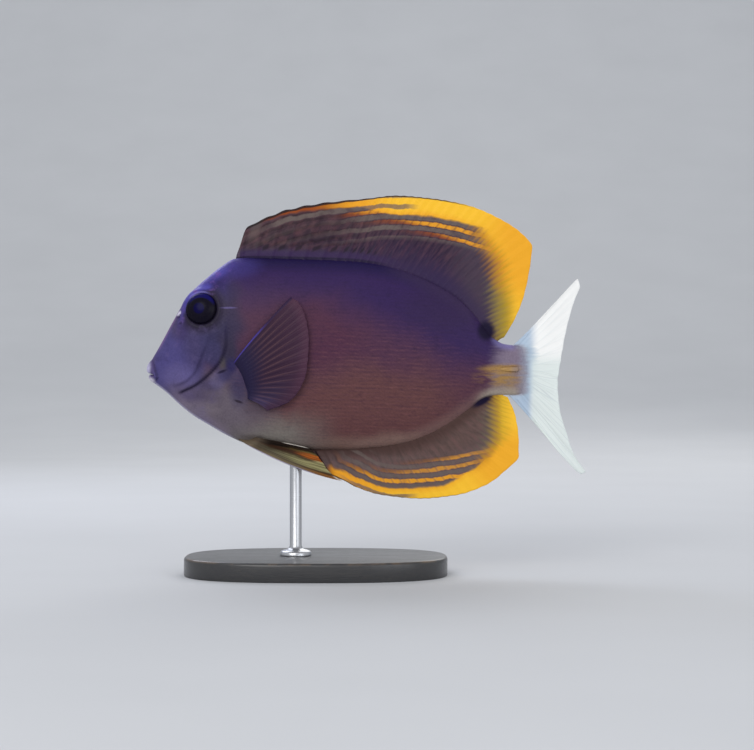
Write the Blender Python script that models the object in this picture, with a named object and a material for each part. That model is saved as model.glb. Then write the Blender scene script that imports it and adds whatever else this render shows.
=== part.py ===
"""A tomini tang, a small surgeonfish, as a still life-size model on a plain display stand.

+Z is up, the head points along -X and the fish's left side faces -Y. The origin is on the floor,
under the middle of the fish's length. Sizes are written in millimetres and meshes are in metres.
"""

import math

import bmesh
import bpy
from mathutils import Matrix, Vector

MM = 0.001
GAP = 0.3

# Outline of the body seen from the side: height of the back and of the belly at each x.
BACK = [(-69.2, 65.6), (-69.0, 66.6), (-68.5, 68.4), (-67.4, 70.6), (-65.8, 73.2), (-62.0, 80.2),
        (-58.0, 87.0), (-55.0, 90.9), (-51.0, 94.6), (-46.0, 98.6), (-42.0, 100.9), (-36.0, 101.3),
        (-16.0, 100.9), (-4.0, 100.4), (6.0, 99.0), (14.0, 96.6), (22.0, 93.1), (29.0, 88.9),
        (34.0, 84.2), (38.0, 79.2), (41.0, 75.4), (44.0, 73.7), (47.0, 73.3), (52.4, 73.5)]
BELLY = [(-69.2, 63.6), (-69.0, 62.8), (-68.4, 61.8), (-66.8, 60.5), (-64.0, 58.3), (-60.0, 54.6),
         (-56.0, 51.3), (-50.0, 47.6), (-44.0, 44.2), (-38.0, 41.7), (-30.0, 40.4), (-20.0, 39.9),
         (-8.0, 39.9), (4.0, 40.6), (12.0, 41.8), (20.0, 44.4), (27.0, 48.2), (33.0, 52.5),
         (38.0, 56.1), (42.0, 57.3), (46.0, 57.3), (52.4, 57.0)]
HALF_WIDTH = [(-69.2, 1.3), (-68.9, 2.1), (-68.0, 3.0), (-66.0, 4.2), (-62.0, 6.0), (-58.0, 7.4),
              (-52.0, 8.8), (-46.0, 9.8), (-38.0, 10.5), (-28.0, 10.6), (-14.0, 10.1), (0.0, 9.1),
              (12.0, 7.8), (24.0, 6.0), (34.0, 4.3), (41.0, 3.2), (47.0, 2.4), (52.4, 1.2)]
# How soon a section narrows towards its ridge: under 1 is boxy, over 1 is keeled.
NARROWING_ABOVE = [(-69.2, 0.8), (-60.0, 0.72), (-52.0, 0.75), (-42.0, 1.0), (-20.0, 1.1), (52.4, 0.9)]
NARROWING_BELOW = [(-69.2, 0.8), (-60.0, 1.1), (-44.0, 1.1), (-20.0, 0.95), (20.0, 1.0), (52.4, 0.9)]

SNOUT_X = -69.2
TAIL_BASE_X = 52.4
AROUND = 40
HEAD_STEPS = 22
TRUNK_STEPS = 28
NAPE_X = -42.0

EYE_X, EYE_Z = -52.0, 84.6
EYE_RADIUS = 5.1
EYE_DEPTH_RADIUS = 2.5
EYE_SUNK = 1.1
EYE_SQUARED = 0.35
# The rim round the eye and the fleshy root of the pectoral fin, which stand out of the plain sections.
ORBIT_RADIUS, ORBIT_RISE, ORBIT_SPREAD = 5.9, 0.55, 1.0
FIN_ROOT_X, FIN_ROOT_Z, FIN_ROOT_WIDE, FIN_ROOT_HIGH, FIN_ROOT_RISE = -40.6, 61.5, 2.6, 5.0, 0.9

# Lips: how far they reach back and out, and for each the height at the front and at the mouth's
# corner, the place of its front and its radius.
LIP_REACH, LIP_SPREAD = 2.6, 3.4
UPPER_LIP = (66.1, 63.5, -68.75, 1.45)
LOWER_LIP = (62.9, 62.6, -68.5, 1.05)
LIP_POINTS = 9

NOSTRILS = [(-59.4, 82.2, 0.75), (-58.7, 80.1, 0.55)]

# Cuts between the named parts of the body, as (x, z) lines seen from the side.
GILL_OPENING = [(-43.6, 106.0), (-43.5, 98.0), (-43.5, 90.0), (-43.8, 83.0), (-44.1, 76.8), (-44.3, 72.2),
                (-46.1, 67.8), (-50.0, 63.6), (-54.0, 60.5), (-57.8, 58.5), (-60.0, 56.4), (-61.6, 52.0)]
CHEEK_EDGE = [(-46.4, 79.6), (-48.9, 77.2), (-50.3, 73.2), (-52.1, 69.0), (-54.0, 64.9), (-57.6, 61.5)]
JAW_LINE = [(-76.0, 64.5), (-69.6, 64.3), (-67.2, 63.3), (-65.6, 61.7), (-64.7, 59.6), (-64.0, 52.0)]
PEDUNCLE_LINE = [(39.0, 84.0), (40.1, 76.0), (40.8, 70.0), (41.0, 65.0), (40.8, 60.0), (39.9, 56.0),
                 (38.5, 48.0)]
COVER_TOP_Z, COVER_LOW_Z = 78.4, 58.4
COVER_RAISED = 0.35
COVER_THICKNESS = 1.5
# How far from the middle the cutters of one side reach, and how far the others reach past the fish.
SIDE_NEAR, SIDE_FAR = 2.0, 20.0
FAR, OVER, UNDER = 200.0, 140.0, 20.0

# The scalpel, a folded spine in a groove on each side of the tail stalk.
SCALPEL_TIP_X, SCALPEL_HINGE_X = 42.2, 48.6
SCALPEL_SHOULDER_X = 44.6
SCALPEL_Z = 65.5
SCALPEL_HEIGHT = 1.4
SCALPEL_DEPTH = 1.0
SCALPEL_PROUD = 0.45

# Fin guides: ray number, x and z of its root, x and z of its tip. The median fins' roots follow the
# body's ridge line, so theirs give no z. Rays between guides are interpolated.
LAST_SPINE = 8
TAIL_MIDDLE_RAY = 7.5
ROOT_DEPTH = 2.2
DORSAL = [(0, -41.6, -40.7, 103.9), (1, -39.6, -38.3, 110.8), (2, -35.4, -31.9, 114.2),
          (3, -30.6, -26.0, 116.5), (5, -20.4, -13.2, 118.9), (7, -10.2, 0.2, 120.2),
          (10, -2.6, 9.6, 121.2), (14, 5.6, 20.0, 120.4), (18, 13.6, 31.6, 118.3),
          (22, 21.4, 43.0, 113.6), (25, 27.0, 51.0, 107.9), (26, 28.8, 53.2, 104.6),
          (27, 30.6, 52.5, 98.4), (29, 34.3, 50.4, 88.6), (31, 38.0, 47.4, 81.2), (32.4, 41.2, 44.2, 75.8)]
ANAL = [(0, -18.8, -13.9, 35.6), (1, -15.2, -11.4, 32.0), (2, -11.6, -7.4, 30.1), (3, -8.6, -3.6, 28.0),
        (6, -2.0, 5.4, 25.2), (10, 6.6, 17.4, 24.1), (14, 15.2, 28.8, 25.2), (17, 21.6, 38.6, 28.6),
        (19, 25.8, 45.4, 33.8), (20, 27.9, 48.9, 37.7), (21, 30.0, 48.9, 42.5), (23, 34.4, 47.9, 50.4),
        (25.4, 41.2, 45.4, 56.6)]
CAUDAL = [(-1, 46.2, 72.6, 52.4, 77.6), (0, 47.6, 72.4, 67.6, 94.4), (1, 48.4, 71.8, 68.5, 92.0),
          (2, 49.0, 70.8, 66.8, 87.6), (4, 49.6, 68.6, 64.0, 77.2), (6, 49.8, 66.6, 62.4, 68.2),
          (8, 49.8, 64.6, 61.4, 60.8), (10, 49.7, 62.6, 61.9, 53.4), (12, 49.4, 60.4, 64.3, 44.6),
          (13, 49.0, 59.6, 66.3, 38.6), (14, 48.4, 58.8, 70.2, 32.7), (15, 46.8, 57.9, 68.6, 32.1),
          (15.5, 45.8, 58.0, 60.9, 39.9), (16, 44.6, 58.2, 53.4, 49.5)]
PECTORAL = [(0, -42.4, 66.6, -23.6, 88.2), (1, -41.9, 65.6, -21.4, 86.9), (3, -41.0, 64.0, -19.2, 82.8),
            (6, -39.9, 62.0, -17.8, 74.8), (9, -39.0, 60.2, -18.4, 65.4), (11, -38.5, 59.0, -20.4, 59.6),
            (13, -38.0, 57.6, -24.4, 55.0), (15, -37.7, 56.2, -31.0, 52.4)]
PELVIC = [(0, -41.0, 43.4, -7.4, 29.9), (1, -39.6, 43.5, -9.2, 31.0), (2, -38.6, 43.6, -11.6, 32.9),
          (3, -37.8, 43.8, -13.4, 35.4), (4, -37.2, 44.0, -15.4, 38.0), (5, -36.8, 44.2, -17.6, 40.4)]
# How far rays bow towards their fin's front, or away from it where negative.
DORSAL_BOW, ANAL_BOW, PECTORAL_BOW, PELVIC_FRONT_BOW, PELVIC_REAR_BOW = 0.45, -0.4, 0.5, -1.6, 0.25
# How far the pectoral fin stands off the flank at each share of its rays.
PECTORAL_LIFT = [(0.0, -1.6), (0.14, 1.3), (0.4, 1.9), (1.0, 2.7)]
MARGIN_THICKNESS = 0.5
BLADE_THICKNESS = 0.6
DORSAL_THICKNESS, ANAL_THICKNESS, TAIL_THICKNESS = 2.2, 2.0, 3.0
PECTORAL_THICKNESS, PELVIC_THICKNESS = 1.3, 1.2
RIDGE = 0.2
SPINE_RIDGE, SPINE_NOTCH = 0.32, 0.5
PART_LINE = 0.6 * GAP
ROW_SPREAD = 1.25

# The stand.
BASE_X = -16.0
BASE_LENGTH, BASE_WIDTH, BASE_HEIGHT = 84.0, 54.0, 6.0
BASE_CORNERS = 2.6
BASE_CHAMFER = 1.0
ROD_X = -22.5
ROD_RADIUS = 1.9
ROD_FOOT_RADIUS, ROD_FOOT_RIM, ROD_FOOT_SHOULDER, ROD_FOOT_HEIGHT = 5.0, 1.2, 1.9, 2.4
ROD_REACH = 46.0

COLOURS = {
    "plum_skin": ((0.105, 0.052, 0.085), 0.5, 0.0),
    "violet_head": ((0.105, 0.085, 0.2), 0.45, 0.0),
    "eye": ((0.006, 0.005, 0.012), 0.15, 0.0),
    "striped_fin": ((0.12, 0.06, 0.06), 0.5, 0.0),
    "white_fin": ((0.85, 0.87, 0.85), 0.5, 0.0),
    "scalpel": ((0.55, 0.3, 0.08), 0.4, 0.0),
    "stand_board": ((0.03, 0.03, 0.032), 0.5, 0.0),
    "stand_steel": ((0.6, 0.6, 0.6), 0.3, 1.0),
}


def through(points):
    """A smooth curve through (x, value) points that never overshoots them, as a function of x."""
    xs = [p[0] for p in points]
    ys = [p[1] for p in points]
    steps = [b - a for a, b in zip(xs, xs[1:])]
    rises = [(b - a) / h for a, b, h in zip(ys, ys[1:], steps)]
    slopes = [rises[0]]
    for (r0, r1), (h0, h1) in zip(zip(rises, rises[1:]), zip(steps, steps[1:])):
        if r0 * r1 <= 0:
            slopes.append(0.0)
        else:
            w0, w1 = 2 * h1 + h0, h1 + 2 * h0
            slopes.append((w0 + w1) / (w0 / r0 + w1 / r1))
    slopes.append(rises[-1])

    def value(x):
        x = min(max(x, xs[0]), xs[-1])
        k = max(i for i in range(len(xs) - 1) if xs[i] <= x)
        h = steps[k]
        t = (x - xs[k]) / h
        rise = ys[k + 1] - ys[k]
        bend0, bend1 = slopes[k] * h - rise, rise - slopes[k + 1] * h
        return ys[k] + t * rise + t * (1 - t) * ((1 - t) * bend0 + t * bend1)

    return value


back, belly, half_width = through(BACK), through(BELLY), through(HALF_WIDTH)
narrowing_above, narrowing_below = through(NARROWING_ABOVE), through(NARROWING_BELOW)
pectoral_lift = through(PECTORAL_LIFT)


def smooth_step(low, high, value):
    t = min(max((value - low) / (high - low), 0.0), 1.0)
    return t * t * (3 - 2 * t)


def bump(x, z, centre_x, centre_z, radius_x, radius_z):
    return math.exp(-(((x - centre_x) / radius_x) ** 2) - ((z - centre_z) / radius_z) ** 2)


def relief(x, z):
    """How far the skin stands out past the plain section: the rim of the eye and the fin's fleshy root."""
    rim = ORBIT_RISE * math.exp(-(((math.hypot(x - EYE_X, z - EYE_Z) - ORBIT_RADIUS) / ORBIT_SPREAD) ** 2))
    root = FIN_ROOT_RISE * bump(x, z, FIN_ROOT_X, FIN_ROOT_Z, FIN_ROOT_WIDE, FIN_ROOT_HIGH)
    return rim + root


def section_point(x, angle):
    """The point on the right side of the body at x, with angle -90 at the belly and 90 at the back."""
    low, high = belly(x), back(x)
    z = (low + high) / 2 + (high - low) / 2 * math.sin(angle)
    narrowing = (narrowing_above if angle > 0 else narrowing_below)(x)
    plain = half_width(x) * max(math.cos(angle), 0.0) ** narrowing
    return plain + relief(x, z) * min(1.0, math.cos(angle) * 3), z


def flank(x, z):
    """Half the body's width at x and height z."""
    low, high = belly(x), back(x)
    share = min(max((2 * z - low - high) / (high - low), -1.0), 1.0)
    return section_point(x, math.asin(share))[0]


def outward(x, z):
    """The direction that the right flank faces at x and z."""
    near = 0.4
    return Vector((flank(x - near, z) - flank(x + near, z), 2 * near,
                   flank(x, z - near) - flank(x, z + near))).normalized()


def stations():
    """Where the body's sections stand along x: close together at the snout, wider along the trunk."""
    head = [SNOUT_X + (NAPE_X - SNOUT_X) * (i / HEAD_STEPS) ** 1.35 for i in range(HEAD_STEPS)]
    trunk = [NAPE_X + (TAIL_BASE_X - NAPE_X) * i / TRUNK_STEPS for i in range(TRUNK_STEPS + 1)]
    return head + trunk


def new_object(name, bm):
    """An object from a bmesh in millimetres, with its faces pointing out."""
    bmesh.ops.recalc_face_normals(bm, faces=bm.faces)
    bmesh.ops.scale(bm, vec=(MM, MM, MM), verts=bm.verts)
    mesh = bpy.data.meshes.new(name)
    bm.to_mesh(mesh)
    bm.free()
    obj = bpy.data.objects.new(name, mesh)
    bpy.context.scene.collection.objects.link(obj)
    return obj


def grid(columns, rows):
    """A bmesh grid and its vertices keyed by (column, row)."""
    bm = bmesh.new()
    bmesh.ops.create_grid(bm, x_segments=columns, y_segments=rows, size=1.0)
    place = {(round((v.co.x + 1) / 2 * columns), round((v.co.y + 1) / 2 * rows)): v for v in bm.verts}
    return bm, place


def body(name, offset=0.0):
    """The whole body without its fins, closed, with its skin moved out by offset."""
    xs = stations()
    bm, place = grid(len(xs) - 1, AROUND)
    for (i, j), v in place.items():
        angle = 2 * math.pi * j / AROUND - math.pi / 2
        side = 1 if math.cos(angle) >= 0 else -1
        width, z = section_point(xs[i], math.asin(math.sin(angle)))
        v.co = (xs[i], side * width, z)
    bmesh.ops.remove_doubles(bm, verts=bm.verts, dist=1e-4)
    bmesh.ops.holes_fill(bm, edges=[e for e in bm.edges if e.is_boundary], sides=0)
    bmesh.ops.recalc_face_normals(bm, faces=bm.faces)
    if offset:
        bm.normal_update()
        moves = [(v, v.normal * offset) for v in bm.verts]
        for v, move in moves:
            v.co += move
    return new_object(name, bm)


def prism(name, outline, y_low=-30.0, y_high=30.0):
    """A solid with the given (x, z) outline, from y_low to y_high."""
    bm = bmesh.new()
    face = bm.faces.new([bm.verts.new((x, y_low, z)) for x, z in outline])
    made = bmesh.ops.extrude_face_region(bm, geom=[face])
    verts = [g for g in made["geom"] if isinstance(g, bmesh.types.BMVert)]
    bmesh.ops.translate(bm, verts=verts, vec=(0, y_high - y_low, 0))
    return new_object(name, bm)


def shifted(line, distance):
    """The line moved sideways by distance, to its left as it is walked."""
    points = [Vector(p) for p in line]
    moved = []
    for i, p in enumerate(points):
        before, after = points[max(i - 1, 0)], points[min(i + 1, len(points) - 1)]
        along = (after - before).normalized()
        moved.append(p + Vector((-along.y, along.x)) * distance)
    return [(p.x, p.y) for p in moved]


def rounded(line, steps=3):
    """A line of more points on a smooth curve through those of the given line."""
    points = [Vector(line[0])] + [Vector(p) for p in line] + [Vector(line[-1])]
    made = []
    for a, b, c, d in zip(points, points[1:], points[2:], points[3:]):
        for i in range(steps):
            t = i / steps
            made.append(0.5 * (2 * b + (c - a) * t + (2 * a - 5 * b + 4 * c - d) * t * t
                               + (3 * b - a - 3 * c + d) * t ** 3))
    made.append(points[-1])
    return [(p.x, p.y) for p in made]


def grown(outline, distance):
    """The closed outline moved outwards by distance."""
    points = [Vector(p) for p in outline]
    turn = sum(a.cross(b) for a, b in zip(points, points[1:] + points[:1]))
    moved = []
    for i, p in enumerate(points):
        into = (p - points[i - 1]).normalized()
        away = (points[(i + 1) % len(points)] - p).normalized()
        out = Vector((into.y + away.y, -into.x - away.x)).normalized()
        corner = max(abs(out.dot(Vector((into.y, -into.x)))), 0.4)
        moved.append(p + out * distance / corner * (1 if turn > 0 else -1))
    return [(p.x, p.y) for p in moved]


def is_sound(mesh):
    """True if the mesh is closed and holds some volume."""
    bm = bmesh.new()
    bm.from_mesh(mesh)
    closed = all(len(edge.link_faces) == 2 for edge in bm.edges)
    volume = bm.calc_volume(signed=False)
    bm.free()
    return closed and volume > MM ** 3


def boolean(obj, operation, *others, keep=False):
    """Applies one Boolean of obj with each other object, then removes those unless keep is set.

    The exact solver makes each cut, and the manifold solver makes those that it can't.
    """
    for other in others:
        modifier = obj.modifiers.new(operation.lower(), "BOOLEAN")
        modifier.operation = operation
        modifier.object = other
        for solver in ("EXACT", "MANIFOLD"):
            modifier.solver = solver
            graph = bpy.context.evaluated_depsgraph_get()
            mesh = bpy.data.meshes.new_from_object(obj.evaluated_get(graph))
            if is_sound(mesh):
                break
        obj.modifiers.clear()
        obj.data = mesh
        if not keep:
            bpy.data.objects.remove(other)
    return obj


def copy_of(obj, name):
    twin = bpy.data.objects.new(name, obj.data.copy())
    bpy.context.scene.collection.objects.link(twin)
    return twin


def keep_largest(obj):
    """Drops every closed surface of obj but the one with the most volume."""
    bm = bmesh.new()
    bm.from_mesh(obj.data)
    bmesh.ops.remove_doubles(bm, verts=bm.verts, dist=1e-7)
    bmesh.ops.triangulate(bm, faces=bm.faces)
    left, pieces = set(bm.faces), []
    while left:
        stack, piece = [left.pop()], []
        while stack:
            face = stack.pop()
            piece.append(face)
            for edge in face.edges:
                for near in edge.link_faces:
                    if near in left:
                        left.discard(near)
                        stack.append(near)
        volume = sum(f.verts[0].co.dot(f.verts[1].co.cross(f.verts[2].co)) for f in piece)
        pieces.append((abs(volume), piece))
    pieces.sort(key=lambda item: item[0])
    loose = [f for _, piece in pieces[:-1] for f in piece]
    if loose:
        bmesh.ops.delete(bm, geom=loose, context="FACES")
    bm.to_mesh(obj.data)
    bm.free()
    return obj


def finish(obj, material, smooth_degrees=35.0):
    """Gives a node its material and its smooth shading."""
    obj.data.materials.clear()
    obj.data.materials.append(material)
    obj.data.shade_smooth()
    obj.data.set_sharp_from_angle(angle=math.radians(smooth_degrees))
    return obj


def make_materials():
    made = {}
    for name, (colour, roughness, metallic) in COLOURS.items():
        material = bpy.data.materials.new(name)
        material.use_nodes = True
        shader = material.node_tree.nodes["Principled BSDF"]
        shader.inputs["Base Color"].default_value = (*colour, 1.0)
        shader.inputs["Roughness"].default_value = roughness
        shader.inputs["Metallic"].default_value = metallic
        made[name] = material
    return made


def lip(name, front_z, corner_z, front_x, radius):
    """A tapered tube round the snout, thickest in front and thin at the mouth's corners."""
    curve = bpy.data.curves.new(name, "CURVE")
    curve.dimensions = "3D"
    curve.bevel_depth = radius * MM
    curve.bevel_resolution = 2
    curve.use_fill_caps = True
    spline = curve.splines.new("POLY")
    spline.points.add(LIP_POINTS - 1)
    for i, point in enumerate(spline.points):
        turn = math.pi * (i / (LIP_POINTS - 1) - 0.5)
        x = front_x + LIP_REACH * (1 - math.cos(turn))
        z = corner_z + (front_z - corner_z) * math.cos(turn)
        point.co = (x * MM, LIP_SPREAD * math.sin(turn) * MM, z * MM, 1.0)
        point.radius = 0.5 + 0.5 * math.cos(turn)
    helper = bpy.data.objects.new(name, curve)
    bpy.context.scene.collection.objects.link(helper)
    mesh = bpy.data.meshes.new_from_object(helper.evaluated_get(bpy.context.evaluated_depsgraph_get()))
    bpy.data.objects.remove(helper)
    bm = bmesh.new()
    bm.from_mesh(mesh)
    bmesh.ops.remove_doubles(bm, verts=bm.verts, dist=1e-7)
    bmesh.ops.scale(bm, vec=(1 / MM, 1 / MM, 1 / MM), verts=bm.verts)
    return new_object(name, bm)


def nostril(name, x, z, radius, side):
    """A raised ring on the snout."""
    bm = bmesh.new()
    made = bmesh.ops.create_circle(bm, segments=6, radius=radius * 0.5)
    bmesh.ops.rotate(bm, verts=made["verts"], matrix=Matrix.Rotation(math.pi / 2, 3, "X"))
    bmesh.ops.translate(bm, verts=made["verts"], vec=(radius, 0, 0))
    bmesh.ops.spin(bm, geom=bm.edges[:] + bm.verts[:], axis=(0, 0, 1), cent=(0, 0, 0),
                   angle=2 * math.pi, steps=10, use_merge=True)
    bmesh.ops.remove_doubles(bm, verts=bm.verts, dist=1e-4)
    bmesh.ops.rotate(bm, verts=bm.verts, matrix=outward(x, z).to_track_quat("Z", "Y").to_matrix())
    bmesh.ops.translate(bm, verts=bm.verts, vec=(x, flank(x, z), z))
    if side < 0:
        bmesh.ops.scale(bm, vec=(1, -1, 1), verts=bm.verts)
    return new_object(name, bm)


def eyeball(name, side, swell=0.0):
    """A flattened ball that faces as the flank does there, larger by swell for its socket."""
    bm = bmesh.new()
    bmesh.ops.create_uvsphere(bm, u_segments=20, v_segments=10, radius=1.0)
    radius = EYE_RADIUS + swell
    bmesh.ops.scale(bm, vec=(radius, radius, EYE_DEPTH_RADIUS + swell), verts=bm.verts)
    facing = outward(EYE_X, EYE_Z).lerp(Vector((0, 1, 0)), EYE_SQUARED).normalized()
    bmesh.ops.rotate(bm, verts=bm.verts, matrix=facing.to_track_quat("Z", "Y").to_matrix())
    bmesh.ops.translate(bm, verts=bm.verts, vec=(EYE_X, flank(EYE_X, EYE_Z) - EYE_SUNK, EYE_Z))
    if side < 0:
        bmesh.ops.scale(bm, vec=(1, -1, 1), verts=bm.verts)
    return new_object(name, bm)


def scalpel(name, side, swell=0.0):
    """The folded tail spine: pointed in front, rounded at its hinge, larger by swell for its groove."""
    outline = []
    steps = 6
    hinge_radius = SCALPEL_HEIGHT / 2
    for i in range(steps + 1):
        angle = math.pi / 2 - math.pi * i / steps
        outline.append((SCALPEL_HINGE_X - hinge_radius + hinge_radius * math.cos(angle),
                        SCALPEL_Z + hinge_radius * math.sin(angle)))
    outline += [(SCALPEL_SHOULDER_X, SCALPEL_Z - hinge_radius), (SCALPEL_TIP_X, SCALPEL_Z),
                (SCALPEL_SHOULDER_X, SCALPEL_Z + hinge_radius)]
    if swell:
        centre = Vector(((SCALPEL_TIP_X + SCALPEL_HINGE_X) / 2, SCALPEL_Z))
        outline = [tuple(Vector(p) + (Vector(p) - centre).normalized() * swell * 1.3) for p in outline]
    face_y = flank((SCALPEL_TIP_X + SCALPEL_HINGE_X) / 2, SCALPEL_Z)
    inner = face_y - SCALPEL_DEPTH - swell
    outer = SIDE_FAR if swell else face_y + SCALPEL_PROUD
    low, high = (inner, outer) if side > 0 else (-outer, -inner)
    return prism(name, outline, low, high)


def guide(rows, column):
    return through([(row[0], row[column]) for row in rows])


def evenly(bow):
    """The same bow for every ray."""
    return lambda ray: bow


def fin(name, guides, first, last, rows, thickness, sideways, bow, ridge=RIDGE, notch=0.0, trim=(0, 0)):
    """A closed fin whose rays run from root to tip between ray numbers first and last.

    thickness(v) is the membrane's at share v of a ray, ridge the height of a ray over it, and
    sideways(x, z, v) is the fin's place across the body. bow(ray) is how far a ray bows,
    notch cuts the margin in between rays, and trim draws in the first and the last edge.
    """
    root_x, root_z, tip_x, tip_z = (guide(guides, c) for c in (1, 2, 3, 4))
    halves = range(math.floor(first * 2) + 1, math.ceil(last * 2))
    numbers = [first] + [half / 2 for half in halves] + [last]
    columns = len(numbers) - 1
    bm, place = grid(columns, rows)
    bmesh.ops.triangulate(bm, faces=bm.faces, quad_method="FIXED")

    def point(column, share):
        ray = numbers[column]
        root, tip = Vector((root_x(ray), root_z(ray))), Vector((tip_x(ray), tip_z(ray)))
        if ray != round(ray):
            tip += (root - tip).normalized() * notch
        across = Vector((root.y - tip.y, tip.x - root.x)).normalized()
        return root.lerp(tip, share) + across * bow(ray) * 4 * share * (1 - share)

    shape = {}
    for (i, j), v in place.items():
        share = (j / rows) ** ROW_SPREAD
        p = point(i, share)
        if i in (0, columns):
            inner = point(1 if i == 0 else columns - 1, share)
            p += (inner - p).normalized() * trim[0 if i == 0 else 1]
        on_ray = numbers[i] == round(numbers[i])
        half = thickness(share) / 2 + (ridge * (1 - 0.55 * share) if on_ray else 0.0)
        shape[v] = (p, half, sideways(p.x, p.y, share))
    front = bm.faces[:]
    back_of = {}
    made = bmesh.ops.extrude_face_region(bm, geom=front)
    copies = [g for g in made["geom"] if isinstance(g, bmesh.types.BMVert)]
    near = {(round(v.co.x, 5), round(v.co.y, 5)): v for v in copies}
    for v in shape:
        back_of[v] = near[(round(v.co.x, 5), round(v.co.y, 5))]
    for v, (p, half, y) in shape.items():
        v.co = (p.x, y + half, p.y)
        back_of[v].co = (p.x, y - half, p.y)
    return new_object(name, bm)


def on_midline(x, z, share):
    return 0.0


def median_thickness(base, sheath):
    """Thick in the skin at its root, then thinning to the margin."""
    return lambda v: MARGIN_THICKNESS + (base - MARGIN_THICKNESS) * (1 - smooth_step(0.0, sheath, v)) \
        + 0.35 * (1 - v)


def with_root(guides, ridge_line, depth):
    """Guides whose root lies depth inside the body's ridge line."""
    return [(ray, root_x, ridge_line(root_x) + depth, tip_x, tip_z) for ray, root_x, tip_x, tip_z in guides]


def dorsal_fins():
    guides = with_root(DORSAL, back, -ROOT_DEPTH)
    thickness = median_thickness(DORSAL_THICKNESS, 0.3)
    split = LAST_SPINE + 0.5
    last = DORSAL[-1][0]
    spiny = fin("dorsal_fin_spiny", guides, 0, split, 6, thickness, on_midline, evenly(DORSAL_BOW),
                SPINE_RIDGE, SPINE_NOTCH, (0, PART_LINE))
    soft = fin("dorsal_fin_soft", guides, split, last, 6, thickness, on_midline, evenly(DORSAL_BOW),
               trim=(PART_LINE, 0))
    return [spiny, soft]


def anal_fin():
    guides = with_root(ANAL, belly, ROOT_DEPTH)
    thickness = median_thickness(ANAL_THICKNESS, 0.3)
    return fin("anal_fin", guides, 0, ANAL[-1][0], 6, thickness, on_midline, evenly(ANAL_BOW))


def tail_wave(x, z, share):
    return 0.7 * math.sin((z - 63.0) / 11.0) * smooth_step(0.25, 1.0, share)


def caudal_fins():
    thickness = median_thickness(TAIL_THICKNESS, 0.55)
    first, middle, last = CAUDAL[0][0], TAIL_MIDDLE_RAY, CAUDAL[-1][0]
    upper = fin("tail_fin_upper", CAUDAL, first, middle, 8, thickness, tail_wave, evenly(0.0),
                trim=(0, PART_LINE))
    lower = fin("tail_fin_lower", CAUDAL, middle, last, 8, thickness, tail_wave, evenly(0.0),
                trim=(PART_LINE, 0))
    return [upper, lower]


def pectoral_side(x, z, share):
    """The blade leaves the flank steeply at its root, then lies back along it."""
    return flank(x, z) + pectoral_lift(share)


def pelvic_side(x, z, share):
    """Against the belly above, a little off the middle below."""
    leave = smooth_step(0.0, 0.16, share)
    return 1.9 + leave * (1.5 + 2.2 * smooth_step(39.0, 43.5, z))


def pelvic_bow(ray):
    """The leading ray bows down the most, and the last one a little up."""
    return PELVIC_FRONT_BOW + (PELVIC_REAR_BOW - PELVIC_FRONT_BOW) * ray / PELVIC[-1][0]


def blade_thickness(base, sheath):
    """Thick at the root of a paired fin, then even to its margin."""
    return lambda v: BLADE_THICKNESS + (base - BLADE_THICKNESS) * (1 - smooth_step(0.0, sheath, v))


def paired_fins():
    """The pectoral and the pelvic fin of each side."""
    made = []
    for side, word in ((-1, "left"), (1, "right")):
        def beside_flank(x, z, share):
            return side * pectoral_side(x, z, share)

        def under_belly(x, z, share):
            return side * pelvic_side(x, z, share)

        made.append(fin(f"pectoral_fin_{word}", PECTORAL, 0, PECTORAL[-1][0], 6,
                        blade_thickness(PECTORAL_THICKNESS, 0.35), beside_flank, evenly(PECTORAL_BOW)))
        made.append(fin(f"pelvic_fin_{word}", PELVIC, 0, PELVIC[-1][0], 6,
                        blade_thickness(PELVIC_THICKNESS, 0.4), under_belly, pelvic_bow))
    return made


def whole_body():
    """The body with its lips and nostrils joined to it."""
    whole = body("whole")
    upper, lower = lip("upper_lip", *UPPER_LIP), lip("lower_lip", *LOWER_LIP)
    rings = [nostril(f"nostril_{i}_{side}", x, z, radius, side)
             for i, (x, z, radius) in enumerate(NOSTRILS) for side in (-1, 1)]
    return boolean(whole, "UNION", upper, lower, *rings)


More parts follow.
